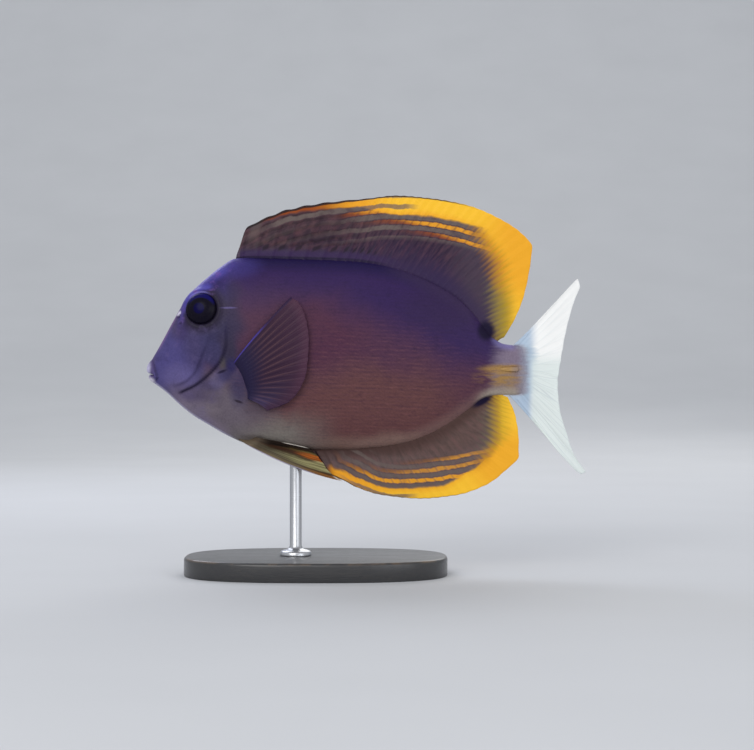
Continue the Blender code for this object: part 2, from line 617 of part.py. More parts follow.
def body_parts(materials):
    """Parts the body into head, lower jaw, gill covers, trunk and tail stalk with thin cuts."""
    whole = whole_body()
    opening, peduncle, jaw_line = rounded(GILL_OPENING), rounded(PEDUNCLE_LINE), rounded(JAW_LINE)
    front_line, rear_line = shifted(opening, -GAP / 2), shifted(opening, GAP / 2)
    head_zone = prism("head_zone", front_line + [(-FAR, front_line[-1][1]), (-FAR, front_line[0][1])])
    behind_line = shifted(peduncle, GAP / 2)
    trunk_rear = shifted(peduncle, -GAP / 2)
    trunk_zone = prism("trunk_zone", [(rear_line[0][0], OVER)] + rear_line + [(rear_line[-1][0], UNDER),
                       (trunk_rear[-1][0], UNDER)] + trunk_rear[::-1] + [(trunk_rear[0][0], OVER)])
    stalk_zone = prism("stalk_zone", behind_line + [(FAR, behind_line[-1][1]), (FAR, behind_line[0][1])])
    jaw_front = shifted(jaw_line, -GAP / 2)
    jaw_zone = prism("jaw_zone", jaw_front + [(-76.0, 52.0)])
    jaw_clear = prism("jaw_clear", shifted(jaw_line, GAP / 2) + [(-77.0, 51.0)])

    head = boolean(copy_of(whole, "head"), "INTERSECT", head_zone)
    jaw = boolean(copy_of(whole, "lower_jaw"), "INTERSECT", jaw_zone)
    trunk = boolean(copy_of(whole, "trunk"), "INTERSECT", trunk_zone)
    stalk = boolean(copy_of(whole, "tail_stalk"), "INTERSECT", stalk_zone)
    bpy.data.objects.remove(whole)
    boolean(head, "DIFFERENCE", jaw_clear)

    covers = []
    cover_rear = [p for p in front_line if p[1] < COVER_TOP_Z and p[1] > COVER_LOW_Z]
    cover_outline = rounded(CHEEK_EDGE) + cover_rear[::-1]
    pocket_outline = grown(cover_outline, GAP)
    for side, word in ((-1, "left"), (1, "right")):
        low, high = (SIDE_NEAR, SIDE_FAR) if side > 0 else (-SIDE_FAR, -SIDE_NEAR)
        cover = body(f"gill_cover_{word}", COVER_RAISED)
        boolean(cover, "INTERSECT", prism("outline", cover_outline, low, high))
        boolean(cover, "DIFFERENCE", body("core", COVER_RAISED - COVER_THICKNESS))
        pocket = prism("pocket", pocket_outline, low, high)
        boolean(pocket, "DIFFERENCE", body("core", COVER_RAISED - COVER_THICKNESS - GAP))
        boolean(head, "DIFFERENCE", pocket)
        covers.append(finish(keep_largest(cover), materials["violet_head"]))
        boolean(head, "DIFFERENCE", eyeball("socket", side, GAP))
        finish(eyeball(f"eye_{word}", side), materials["eye"])
        boolean(stalk, "DIFFERENCE", scalpel("groove", side, GAP))
        finish(scalpel(f"scalpel_{word}", side), materials["scalpel"])
    for node, material in ((head, "violet_head"), (jaw, "violet_head"), (trunk, "plum_skin"),
                           (stalk, "plum_skin")):
        finish(keep_largest(node), materials[material])


def fins(materials):
    """Makes every fin and trims its root where it meets the body."""
    clearance = body("clearance", GAP)
    for node in dorsal_fins() + [anal_fin()] + caudal_fins() + paired_fins():
        boolean(node, "DIFFERENCE", clearance, keep=True)
        material = "white_fin" if node.name.startswith("tail") else "striped_fin"
        finish(keep_largest(node), materials[material], 50.0)
    bpy.data.objects.remove(clearance)


def stand(materials):
    """A flat oval board, and a rod with a turned foot that reaches up to the belly."""
    bm = bmesh.new()
    made = bmesh.ops.create_circle(bm, cap_ends=True, segments=48, radius=1.0)
    for v in made["verts"]:
        angle = math.atan2(v.co.y, v.co.x)
        across, deep = math.cos(angle), math.sin(angle)
        reach = (abs(across) ** BASE_CORNERS + abs(deep) ** BASE_CORNERS) ** (-1 / BASE_CORNERS)
        v.co = (BASE_X + BASE_LENGTH / 2 * reach * across, BASE_WIDTH / 2 * reach * deep, 0.0)
    raised = bmesh.ops.extrude_face_region(bm, geom=bm.faces[:])
    top = [g for g in raised["geom"] if isinstance(g, bmesh.types.BMVert)]
    bmesh.ops.translate(bm, verts=top, vec=(0, 0, BASE_HEIGHT))
    rim = [e for e in bm.edges if all(v.co.z > BASE_HEIGHT / 2 for v in e.verts) and len(e.link_faces) == 2]
    bmesh.ops.bevel(bm, geom=rim, offset=BASE_CHAMFER, segments=2, profile=0.5, affect="EDGES", material=-1)
    finish(new_object("stand_base", bm), materials["stand_board"])

    floor = BASE_HEIGHT + GAP
    profile = [(0.0, floor), (ROD_FOOT_RADIUS, floor), (ROD_FOOT_RADIUS, floor + ROD_FOOT_RIM),
               (ROD_FOOT_RADIUS - 1.0, floor + ROD_FOOT_SHOULDER), (ROD_RADIUS, floor + ROD_FOOT_HEIGHT),
               (ROD_RADIUS, ROD_REACH), (0.0, ROD_REACH)]
    bm = bmesh.new()
    verts = [bm.verts.new((r, 0, z)) for r, z in profile]
    edges = [bm.edges.new(pair) for pair in zip(verts, verts[1:])]
    bmesh.ops.spin(bm, geom=verts + edges, axis=(0, 0, 1), cent=(0, 0, 0), angle=2 * math.pi, steps=24,
                   use_merge=True)
    bmesh.ops.remove_doubles(bm, verts=bm.verts, dist=1e-4)
    bmesh.ops.translate(bm, verts=bm.verts, vec=(ROD_X, 0, 0))
    rod = new_object("stand_rod", bm)
    boolean(rod, "DIFFERENCE", body("clearance", GAP))
    finish(keep_largest(rod), materials["stand_steel"])


def main():
    for obj in list(bpy.data.objects):
        bpy.data.objects.remove(obj)
    materials = make_materials()
    body_parts(materials)
    fins(materials)
    stand(materials)


main()
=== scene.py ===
# %% [markdown]
# # A tomini tang in paint and skin
# The packed solids already have the fish's true size and outline. This notebook dresses them: one smooth
# skin over the head, gill covers, trunk and tail stalk, finely rayed fins, dark eyes, and paint that
# follows the real fish. Every length below is in millimetres, and `MM` turns it into metres.

# %% Load the frame
import math

import bmesh
import bpy
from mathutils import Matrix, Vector


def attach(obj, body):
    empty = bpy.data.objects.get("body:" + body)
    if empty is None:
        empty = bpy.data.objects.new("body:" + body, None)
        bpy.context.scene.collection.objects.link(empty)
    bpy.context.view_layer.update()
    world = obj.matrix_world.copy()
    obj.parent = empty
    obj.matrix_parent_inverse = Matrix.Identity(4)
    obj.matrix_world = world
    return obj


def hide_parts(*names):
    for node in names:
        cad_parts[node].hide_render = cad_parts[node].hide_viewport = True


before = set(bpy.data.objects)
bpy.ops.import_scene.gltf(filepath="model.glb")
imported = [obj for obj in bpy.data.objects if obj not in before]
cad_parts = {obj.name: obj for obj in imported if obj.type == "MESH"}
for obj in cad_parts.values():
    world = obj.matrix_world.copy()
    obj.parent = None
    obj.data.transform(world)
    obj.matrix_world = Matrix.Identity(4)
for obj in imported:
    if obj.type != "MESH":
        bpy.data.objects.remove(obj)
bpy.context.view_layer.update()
MM = 0.001

# %% [markdown]
# ## The camera
# The photo looks straight at the fish's left side with hardly any perspective, so a long lens stands well
# back at the fish's own height. How far follows from the width that the picture takes in at the fish.

# %% Place the camera
PICTURE_WIDTH = 241.3
PICTURE_CENTRE_X, PICTURE_CENTRE_Z = 3.5, 63.7
LENS, SENSOR = 90, 36
distance = PICTURE_WIDTH * LENS / SENSOR

camera_data = bpy.data.cameras.new("camera")
camera_data.lens, camera_data.sensor_width = LENS, SENSOR
camera_data.clip_start, camera_data.clip_end = 0.01, 20
camera = bpy.data.objects.new("camera", camera_data)
camera.location = (PICTURE_CENTRE_X * MM, -distance * MM, PICTURE_CENTRE_Z * MM)
camera.rotation_euler = (math.pi / 2, 0, 0)
bpy.context.collection.objects.link(camera)
bpy.context.scene.camera = camera
print("camera stands", round(distance), "mm from the fish")

# %% [markdown]
# ## Floor and light
# A pale floor that sweeps up far behind the model keeps the picture plain. The key lamp, big and soft,
# stands above and in front and shows how round the flank is, and a weaker one fills its shadows. Two more
# behind draw the thin bright rim that the photo shows along the forehead, and one lights the backdrop.

# %% Settle a finished mesh
WELD = 1e-4


def settle(name, bm):
    """An object from a bmesh in millimetres, with its place in its mesh and its normals recalculated."""
    bmesh.ops.recalc_face_normals(bm, faces=bm.faces)
    bmesh.ops.scale(bm, vec=(MM, MM, MM), verts=bm.verts)
    mesh = bpy.data.meshes.new(name)
    bm.to_mesh(mesh)
    bm.free()
    mesh.shade_smooth()
    piece = bpy.data.objects.new(name, mesh)
    bpy.context.collection.objects.link(piece)
    return piece


def move_made(bm, made, *way):
    """Moves the points that an extrusion has just made."""
    points = [item for item in made["geom"] if isinstance(item, bmesh.types.BMVert)]
    bmesh.ops.translate(bm, verts=points, vec=way)


print("points closer than", WELD, "mm are welded")

# %% Build the floor
FLOOR_HALF = 6000
SWEEP_START, SWEEP_RADIUS, SWEEP_TOP, SWEEP_STEPS = 900, 2600, 5200, 16


def build_floor():
    bm = bmesh.new()
    profile = [(-FLOOR_HALF, 0), (SWEEP_START, 0)]
    for i in range(1, SWEEP_STEPS + 1):
        turn = math.pi / 2 * i / SWEEP_STEPS
        profile.append((SWEEP_START + SWEEP_RADIUS * math.sin(turn), SWEEP_RADIUS * (1 - math.cos(turn))))
    profile.append((SWEEP_START + SWEEP_RADIUS, SWEEP_TOP))
    row = [bm.verts.new((-FLOOR_HALF, y, z)) for y, z in profile]
    edges = [bm.edges.new(pair) for pair in zip(row, row[1:])]
    move_made(bm, bmesh.ops.extrude_edge_only(bm, edges=edges), 2 * FLOOR_HALF, 0, 0)
    floor = settle("floor", bm)
    if floor.data.polygons[0].normal.z < 0:
        floor.data.flip_normals()
    return floor


floor = build_floor()
print("floor is", 2 * FLOOR_HALF * MM, "m wide")

# %% Hang the lamps
# Name, place, the point it aims at and its size in millimetres, its power in watts and its tint
FISH_MIDDLE = (0, 0, 65)
LAMPS = [
    ("key_lamp", (-360, -900, 520), FISH_MIDDLE, 700, 4.6, (1, 0.985, 0.96)),
    ("fill_lamp", (620, -760, 160), FISH_MIDDLE, 700, 1.9, (0.95, 0.97, 1)),
    ("back_lamp", (250, 900, 700), FISH_MIDDLE, 700, 2.6, (1, 0.985, 0.96)),
    ("rim_lamp", (-300, 420, 460), FISH_MIDDLE, 300, 0.9, (0.85, 0.88, 1)),
    ("backdrop_lamp", (0, 1300, 1900), (0, 2300, 200), 1800, 9, (1, 1, 1)),
]

for lamp_name, place, aim, size, power, tint in LAMPS:
    light = bpy.data.lights.new(lamp_name, "AREA")
    light.shape = "DISK"
    light.size = size * MM
    light.energy = power
    light.color = tint
    lamp = bpy.data.objects.new(lamp_name, light)
    lamp.location = Vector(place) * MM
    lamp.rotation_euler = (Vector(aim) - Vector(place)).to_track_quat("-Z", "Y").to_euler()
    bpy.context.collection.objects.link(lamp)

ROOM_TINT, ROOM_STRENGTH = (0.90, 0.92, 0.95, 1), 0.72
world = bpy.data.worlds.new("studio")
world.use_nodes = True
room = world.node_tree.nodes["Background"].inputs
room["Color"].default_value, room["Strength"].default_value = ROOM_TINT, ROOM_STRENGTH
bpy.context.scene.world = world
bpy.context.scene.view_settings.view_transform = "Standard"
print(len(LAMPS), "lamps hung")

# %% [markdown]
# ## A small language for finishes
# Paint on a fish is sums of soft-edged areas, stripes and noise. Written as nodes one by one it is hard to
# read, so `Signal` wraps a socket and lets plain Python arithmetic add the Math nodes, and `Finish` wraps
# a material and makes any other node in one call. A colour is given by its name in `PAINT`, which a later
# cell gives, or by its three screen levels.

# %% Wrap a socket


class Signal:
    """A number that varies over a surface: arithmetic on it adds Math nodes."""

    def __init__(self, finish, socket):
        self.finish, self.socket = finish, socket

    def math(self, operation, *others):
        return self.finish.node("ShaderNodeMath", {"operation": operation}, [self, *others])

    def __add__(self, other):
        return self.math("ADD", other)

    def __sub__(self, other):
        return self.math("SUBTRACT", other)

    def __mul__(self, other):
        return self.math("MULTIPLY", other)

    def __truediv__(self, other):
        return self.math("DIVIDE", other)

    def __rsub__(self, other):
        return (self * -1) + other

    def __pow__(self, other):
        return self.math("POWER", other)

    def __abs__(self):
        return self.math("ABSOLUTE")

    __radd__, __rmul__ = __add__, __mul__

    def at_least(self, other):
        return self.math("MAXIMUM", other)

    def wave(self, length):
        """Swings between 0 and 1, once every length."""
        return (self * (2 * math.pi / length)).math("SINE") * 0.5 + 0.5

    def ramp(self, low, high, start=0, end=1):
        """Rises smoothly from start at low to end at high."""
        return self.finish.node("ShaderNodeMapRange", {"interpolation_type": "SMOOTHSTEP"},
                                [self, low, high, start, end])

    def band(self, low, rise, fall, high):
        """1 from rise to fall, fading to 0 at low and at high."""
        return self.ramp(low, rise) * self.ramp(high, fall)


print("a signal knows", sum(callable(value) for value in vars(Signal).values()), "operations")

# %% Wrap a material


def linear(levels):
    """Screen levels from 0 to 255 as the linear colour that nodes take."""
    return tuple(v / 3294.6 if v <= 10 else ((v / 255 + 0.055) / 1.055) ** 2.4 for v in levels)


class Finish:
    """A material whose nodes are made by plain calls."""

    def __init__(self, name, roughness=0.5, metallic=0, coat=0, coat_roughness=0.1, gloss=0.5):
        self.material = bpy.data.materials.new(name)
        self.material.use_nodes = True
        self.tree = self.material.node_tree
        self.shader = self.tree.nodes["Principled BSDF"]
        for socket, value in (("Roughness", roughness), ("Metallic", metallic), ("Coat Weight", coat),
                              ("Coat Roughness", coat_roughness), ("Specular IOR Level", gloss)):
            self.shader.inputs[socket].default_value = value

    def feed(self, socket, value):
        """Links a signal to a socket, or sets its number or colour."""
        if isinstance(value, Signal):
            self.tree.links.new(value.socket, socket)
        elif socket.type == "RGBA":
            socket.default_value = (*linear(PAINT.get(value, value)), 1)
        else:
            socket.default_value = value

    def node(self, kind, settings=None, values=(), output=0):
        """Makes a node: its settings first, then values or links by position or by socket name."""
        made = self.tree.nodes.new(kind)
        for key, value in (settings or {}).items():
            setattr(made, key, value)
        named = values.items() if isinstance(values, dict) else enumerate(values)
        for key, value in named:
            self.feed(made.inputs[key], value)
        return Signal(self, made.outputs[output])

    def place(self):
        """The surface point's x, |y| and z in millimetres, so both sides are painted alike."""
        parts = self.node("ShaderNodeSeparateXYZ", values=[self.node("ShaderNodeTexCoord", output=3)])
        x, y, z = (Signal(self, socket) * (1 / MM) for socket in parts.socket.node.outputs)
        return x, abs(y), z

    def attribute(self, name):
        return self.node("ShaderNodeAttribute", {"attribute_name": name}, output=2)

    def vector(self, x, y, z=0):
        return self.node("ShaderNodeCombineXYZ", None, [x, y, z])

    def noise(self, vector, scale=1, detail=3, roughness=0.5):
        return self.node("ShaderNodeTexNoise", None,
                         {"Vector": vector, "Scale": scale, "Detail": detail, "Roughness": roughness})

    def mix(self, factor, first, second):
        return self.node("ShaderNodeMix", {"data_type": "RGBA"}, {0: factor, 6: first, 7: second}, output=2)

    def bump(self, height, size):
        """Raises the surface by height times size, in millimetres."""
        return self.node("ShaderNodeBump", None, {"Strength": 1, "Distance": size * MM, "Height": height})

    def shade(self, **sockets):
        for name, value in sockets.items():
            self.feed(self.shader.inputs[name.replace("_", " ")], value)
        return self.material


def dress(pieces, material):
    for piece in pieces:
        piece.data.materials.clear()
        piece.data.materials.append(material)


print("paint can be mixed")

# %% [markdown]
# ## The body's own curves
# The solids were lofted from four curves: the back, the belly, half the width, and how soon each section
# narrows towards its ridge. The skin repeats them, so that it lies on the solids, and adds what they are
# too coarse for.

# %% Repeat the body's curves
BACK = [(-69.2, 65.6), (-69, 66.6), (-68.5, 68.4), (-67.4, 70.6), (-65.8, 73.2), (-62, 80.2),
        (-58, 87), (-55, 90.9), (-51, 94.6), (-46, 98.6), (-42, 100.9), (-36, 101.3),
        (-16, 100.9), (-4, 100.4), (6, 99), (14, 96.6), (22, 93.1), (29, 88.9),
        (34, 84.2), (38, 79.2), (41, 75.4), (44, 73.7), (47, 73.3), (52.4, 73.5)]
BELLY = [(-69.2, 63.6), (-69, 62.8), (-68.4, 61.8), (-66.8, 60.5), (-64, 58.3), (-60, 54.6),
         (-56, 51.3), (-50, 47.6), (-44, 44.2), (-38, 41.7), (-30, 40.4), (-20, 39.9),
         (-8, 39.9), (4, 40.6), (12, 41.8), (20, 44.4), (27, 48.2), (33, 52.5),
         (38, 56.1), (42, 57.3), (46, 57.3), (52.4, 57)]
HALF_WIDTH = [(-69.2, 1.3), (-68.9, 2.1), (-68, 3), (-66, 4.2), (-62, 6), (-58, 7.4),
              (-52, 8.8), (-46, 9.8), (-38, 10.5), (-28, 10.6), (-14, 10.1), (0, 9.1),
              (12, 7.8), (24, 6), (34, 4.3), (41, 3.2), (47, 2.4), (52.4, 1.2)]
NARROWING_ABOVE = [(-69.2, 0.8), (-60, 0.72), (-52, 0.75), (-42, 1), (-20, 1.1), (52.4, 0.9)]
NARROWING_BELOW = [(-69.2, 0.8), (-60, 1.1), (-44, 1.1), (-20, 0.95), (20, 1), (52.4, 0.9)]


def through(points):
    """A smooth curve through (x, value) points that never overshoots them, as a function of x."""
    xs = [p[0] for p in points]
    ys = [p[1] for p in points]
    steps = [b - a for a, b in zip(xs, xs[1:])]
    rises = [(b - a) / h for a, b, h in zip(ys, ys[1:], steps)]
    slopes = [rises[0]]
    for (r0, r1), (h0, h1) in zip(zip(rises, rises[1:]), zip(steps, steps[1:])):
        if r0 * r1 <= 0:
            slopes.append(0)
        else:
            w0, w1 = 2 * h1 + h0, h1 + 2 * h0
            slopes.append((w0 + w1) / (w0 / r0 + w1 / r1))
    slopes.append(rises[-1])

    def value(x):
        x = min(max(x, xs[0]), xs[-1])
        k = 0
        while k < len(steps) - 1 and xs[k + 1] <= x:
            k += 1
        h = steps[k]
        t = (x - xs[k]) / h
        rise = ys[k + 1] - ys[k]
        bend0, bend1 = slopes[k] * h - rise, rise - slopes[k + 1] * h
        return ys[k] + t * rise + t * (1 - t) * ((1 - t) * bend0 + t * bend1)

    return value


back, belly, half_width = through(BACK), through(BELLY), through(HALF_WIDTH)
narrowing_above, narrowing_below = through(NARROWING_ABOVE), through(NARROWING_BELOW)


def smooth_step(low, high, value):
    t = min(max((value - low) / (high - low), 0), 1)
    return t * t * (3 - 2 * t)


def bell(value, width):
    """1 at 0, falling away on both sides."""
    return math.exp(-((value / width) ** 2))


def section_point(x, angle):
    """Half-width and height on the body's section at x; -90 degrees is the belly and 90 the back."""
    low, high = belly(x), back(x)
    z = (low + high) / 2 + (high - low) / 2 * math.sin(angle)
    narrowing = (narrowing_above if angle > 0 else narrowing_below)(x)
    return half_width(x) * max(math.cos(angle), 0) ** narrowing, z


def flank(x, z):
    """Half the body's width at x and height z."""
    low, high = belly(x), back(x)
    share = min(max((2 * z - low - high) / (high - low), -1), 1)
    return section_point(x, math.asin(share))[0]


print("body is", round(max(half_width(x) for x in range(-60, 50)) * 2, 1), "mm wide")

# %% [markdown]
# ## The skin
# One grid of quads wraps the whole fish. Its rings start inside the mouth, roll out over the lips as the
# rings of a face do, and then run back as upright sections to the tail. What the sections leave out is
# then pushed in or out along the surface: the eye's socket and rim, the nostrils, the edges of the cheek
# and of the gill cover, the fleshy root of the pectoral fin and the groove of the tail spine.

# %% Name the head's landmarks
EYE_X, EYE_Z, EYE_RADIUS = -52, 84.6, 5.1
NOSTRILS = [(-59.4, 82.2, 0.62), (-58.7, 80.1, 0.45)]
GILL_OPENING = [(-43.8, 84), (-43.8, 80.5), (-44.1, 76.8), (-44.3, 72.2), (-46.1, 67.8), (-50, 63.6),
                (-54, 60.5), (-57.8, 58.7), (-60, 57.6)]
CHEEK_EDGE = [(-47.6, 82), (-49.2, 77.5), (-50.3, 73.2), (-52.1, 69), (-53.8, 64.9), (-56.8, 61.8),
              (-61.2, 60)]
MOUTH_FOLD = [(-68.2, 68.4), (-67.5, 66.4), (-66.9, 64.6), (-66.5, 62.9), (-66.9, 61.6)]
PECTORAL_ROOT_X, PECTORAL_ROOT_Z = -40.6, 61.5
SCALPEL_X, SCALPEL_Z, SCALPEL_HALF, SCALPEL_HEIGHT = 45.4, 65.5, 3.5, 0.9

# Rings of the mouth, from the throat over the lips to the fold behind them. Each gives x and z at its
# top, x and z at its bottom, and x, half-width and z at its corners.
MOUTH_RINGS = [
    (-66.2, 63.6, -66.2, 63.6, -66.2, 0, 63.6),
    (-67.6, 63.9, -67.4, 63.5, -66.8, 2.2, 63.3),
    (-69.2, 64.2, -68.9, 63.85, -67, 2.9, 63.3),
    (-69.85, 64.55, -69.35, 63.6, -67.3, 3.25, 63.3),
    (-70.15, 65.5, -69.5, 62.9, -67.4, 3.55, 63.25),
    (-69.85, 66.9, -69.1, 62.1, -67.1, 3.8, 63.2),
    (-69, 68.1, -68.5, 61.55, -66.6, 3.8, 63.1),
    (-68.45, 68.65, -68, 61.2, -66.2, 3.75, 63),
]

AROUND = 236
MOUTH_STEPS = 4
HEAD_STEPS, TRUNK_STEPS = 92, 168
HEAD_START_X, HEAD_END_X, SKIN_END_X = -66.2, -42, 52.4
END_STEPS, END_BULGE = 6, 0.9
print("mouth has", len(MOUTH_RINGS), "named rings, each with", AROUND, "points")

# %% Lay out the skin's rings


def mouth_point(ring, angle):
    """A point on a ring of the mouth, at an angle from -180 to 180 degrees round it."""
    top_x, top_z, low_x, low_z, corner_x, wide, corner_z = ring
    rise = math.sin(angle)
    front_x, front_z = (top_x, top_z) if rise > 0 else (low_x, low_z)
    share = abs(rise)
    return Vector((corner_x + (front_x - corner_x) * share ** 1.6, wide * math.cos(angle),
                   corner_z + (front_z - corner_z) * share))


def glide(a, b, c, d, t):
    """From b at t = 0 to c at t = 1, on a smooth curve that heads for a and d beyond them."""
    return 0.5 * (2 * b + (c - a) * t + (2 * a - 5 * b + 4 * c - d) * t * t
                  + (3 * b - a - 3 * c + d) * t ** 3)


def between(rings, position):
    """The ring at a fractional position in the list, smoothly between its neighbours."""
    k = min(int(position), len(rings) - 2)
    near = [rings[min(max(k + step, 0), len(rings) - 1)] for step in (-1, 0, 1, 2)]
    return [glide(*values, position - k) for values in zip(*near)]


def side_point(x, angle):
    """A point on the section at x."""
    side = 1 if math.cos(angle) >= 0 else -1
    wide, z = section_point(x, math.asin(math.sin(angle)))
    return Vector((x, side * wide, z))


def head_point(x, angle):
    """Near the mouth the sections lean with its fold; further back they stand upright."""
    fold = mouth_point(MOUTH_RINGS[-1], angle)
    lean = (fold.x - HEAD_START_X) * (1 - smooth_step(HEAD_START_X, -58, x))
    upright = side_point(x + lean, angle)
    return fold.lerp(upright, smooth_step(HEAD_START_X - 0.3, HEAD_START_X + 4, x))


def skin_rings():
    """Every ring of the skin, as a function from an angle to a point."""
    rings = []
    for i in range((len(MOUTH_RINGS) - 1) * MOUTH_STEPS):
        ring = between(MOUTH_RINGS, i / MOUTH_STEPS)
        rings.append(lambda angle, ring=ring: mouth_point(ring, angle))
    for i in range(HEAD_STEPS):
        x = HEAD_START_X + (HEAD_END_X - HEAD_START_X) * i / HEAD_STEPS
        rings.append(lambda angle, x=x: head_point(x, angle))
    for i in range(TRUNK_STEPS + 1):
        x = HEAD_END_X + (SKIN_END_X - HEAD_END_X) * i / TRUNK_STEPS
        rings.append(lambda angle, x=x: side_point(x, angle))
    middle = side_point(SKIN_END_X, 0).z
    for i in range(1, END_STEPS + 1):
        shrink = math.cos(math.pi / 2 * i / END_STEPS)
        x = SKIN_END_X + END_BULGE * math.sin(math.pi / 2 * i / END_STEPS)
        rings.append(lambda angle, x=x, s=shrink: Vector((
            x, side_point(SKIN_END_X, angle).y * s,
            middle + (side_point(SKIN_END_X, angle).z - middle) * (0.15 + 0.85 * s))))
    return rings


print("skin has", len(skin_rings()), "rings")

# %% Draw the head's lines


def polyline(points, steps=6):
    """A finer line on a smooth curve through the points."""
    line = [Vector(p) for p in (points[0], *points, points[-1])]
    fours = zip(line, line[1:], line[2:], line[3:])
    made = [glide(*four, i / steps) for four in fours for i in range(steps)]
    return made + [line[-1]]


def offset_from(line, here):
    """Signed distance to a line, positive behind it, and the share of the way down it."""
    best = (math.inf, 0, 0)
    for i, (a, b) in enumerate(zip(line, line[1:])):
        along = b - a
        t = min(max((here - a).dot(along) / max(along.length_squared, 1e-9), 0), 1)
        away = here - (a + along * t)
        if away.length < best[0]:
            side = 1 if along.x * away.y - along.y * away.x > 0 else -1
            best = (away.length, side, (i + t) / (len(line) - 1))
    return best[0] * best[1], best[2]


GILL_LINE, CHEEK_LINE, FOLD_LINE = polyline(GILL_OPENING), polyline(CHEEK_EDGE), polyline(MOUTH_FOLD)
print("gill opening is drawn with", len(GILL_LINE), "points")

# %% Say how far each detail stands out


def edge_fade(share):
    """Lets an edge rise out of the skin at its start and sink back into it at its end."""
    return smooth_step(0.06, 0.62, share) * (1 - smooth_step(0.9, 1, share))


def detail(x, z):
    """How far the skin stands out past the plain section at x and z, and how much painted shade its creases
    get there.
    """
    here = Vector((x, z))
    # dark is the painted shade that the grooves and nostril holes get, not their own colour
    out, dark = 0.9 * bell(x - PECTORAL_ROOT_X, 2.6) * bell(z - PECTORAL_ROOT_Z, 5), 0
    if x < -38:
        reach = math.hypot(x - EYE_X, z - EYE_Z)
        out += 0.5 * bell(reach - EYE_RADIUS - 0.75, 0.85)
        out -= 2.6 * (1 - smooth_step(EYE_RADIUS - 1.9, EYE_RADIUS + 0.1, reach))
        behind, share = offset_from(GILL_LINE, here)
        strength = edge_fade(share)
        if behind < 0:
            out += 0.4 * strength * bell(behind, 2.6) * (1 - bell(behind, 0.25))
        out -= 0.5 * strength * bell(behind - 0.2, 0.34)
        dark = max(dark, strength * bell(behind - 0.15, 0.42))
        behind, share = offset_from(CHEEK_LINE, here)
        strength = edge_fade(share)
        out += 0.16 * strength * smooth_step(-2.2, -0.2, behind) * (1 - smooth_step(-0.2, 0.15, behind))
        out -= 0.2 * strength * bell(behind - 0.2, 0.35)
        dark = max(dark, 0.42 * strength * bell(behind - 0.15, 0.5))
        for nostril_x, nostril_z, radius in NOSTRILS:
            reach = math.hypot(x - nostril_x, z - nostril_z)
            hole = bell(reach, radius * 0.62)
            out += 0.3 * bell(reach - radius, 0.22) - 0.75 * hole
            dark = max(dark, hole)
        if x < -64:
            behind, share = offset_from(FOLD_LINE, here)
            groove = math.sin(math.pi * min(max(share, 0), 1)) ** 0.6 * bell(behind, 0.38)
            out -= 0.28 * groove
            dark = max(dark, 0.55 * groove)
    if x > 38:
        within = max(abs(x - SCALPEL_X) / SCALPEL_HALF, abs(z - SCALPEL_Z) / SCALPEL_HEIGHT)
        out -= 0.2 * (1 - smooth_step(0.7, 1.4, within))
    return out, dark


def depth_under(ridge, x, z):
    """How far a point lies below a ridge line, measured square to it."""
    return (ridge(x) - z) / math.hypot(1, ridge(x + 0.5) - ridge(x - 0.5))


print("skin is", round(-detail(EYE_X, EYE_Z)[0], 1), "mm deep in the eye's socket")

# %% Roll the grid into a skin
SKIN_WELD = 2e-3
LIP_FRONT_X, RIDGE_HALF, RIDGE_FADE = -69.5, 0.4, 1.6
# Numbers kept on the skin for its paint: lengths over the surface along the fish and around it, how much
# shade is painted into its creases and nostrils, and the depths under the back and over the belly
SKIN_LAYERS = ("along", "around", "crease_shade", "crown", "keel")


def build_skin():
    rings = skin_rings()
    columns = len(rings) - 1
    bm = bmesh.new()
    bmesh.ops.create_grid(bm, x_segments=columns, y_segments=AROUND, size=1)
    along_layer, around_layer, crease_shade_layer, crown_layer, keel_layer = (
        bm.verts.layers.float.new(name) for name in SKIN_LAYERS)
    grid = {(round((v.co.x + 1) / 2 * columns), round((v.co.y + 1) / 2 * AROUND)): v for v in bm.verts}
    lengths = {}
    for j in range(AROUND + 1):
        angle = 2 * math.pi * j / AROUND - math.pi / 2
        travelled, last = 0, None
        for i, ring in enumerate(rings):
            point = ring(angle)
            travelled += (point - last).length if last is not None else 0
            last = point
            grid[i, j].co = point
            lengths[i, j] = travelled
    half, right, left = AROUND // 2, AROUND // 4, AROUND // 2 + AROUND // 4
    for i in range(columns + 1):
        for start, step in ((right, 1), (right, -1), (left, 1), (left, -1)):
            travelled, j = 0, start
            while 0 <= j <= AROUND:
                here = grid[i, j]
                here[around_layer] = travelled
                here[along_layer] = lengths[i, start]
                j += step
                if not 0 <= j <= AROUND:
                    break
                step_on = grid[i, j].co - here.co
                travelled += math.copysign(step_on.length, step_on.z)
                if (start < half) != (j <= half) and j != half:
                    break
    bmesh.ops.remove_doubles(bm, verts=bm.verts, dist=SKIN_WELD)
    bmesh.ops.recalc_face_normals(bm, faces=bm.faces)
    bm.normal_update()
    moves = []
    for v in bm.verts:
        v[crown_layer] = depth_under(back, v.co.x, v.co.z)
        v[keel_layer] = -depth_under(belly, v.co.x, v.co.z)
        if v.co.x > LIP_FRONT_X and abs(v.co.y) > RIDGE_HALF:
            out, v[crease_shade_layer] = detail(v.co.x, v.co.z)
            moves.append((v, v.normal * out * smooth_step(RIDGE_HALF, RIDGE_FADE, abs(v.co.y))))
    for v, move in moves:
        v.co += move
    return settle("skin", bm)


skin = build_skin()
print("skin has", len(skin.data.polygons), "faces")

# %% [markdown]
# ## The fins
# A fish's fin is a thin membrane stretched over bony rays. Each fin here is one grid folded over at its
# margin, so that both faces and the rounded edge come from the same sheet. Its rays are laid out by the
# same few guides as the solids, with eight columns of quads between one ray and the next, which is
# enough to raise each ray as a rounded rib. Numbers that the paint needs, such as how far a point is from
# the margin, are stored on the mesh, because they can't be read from its position.

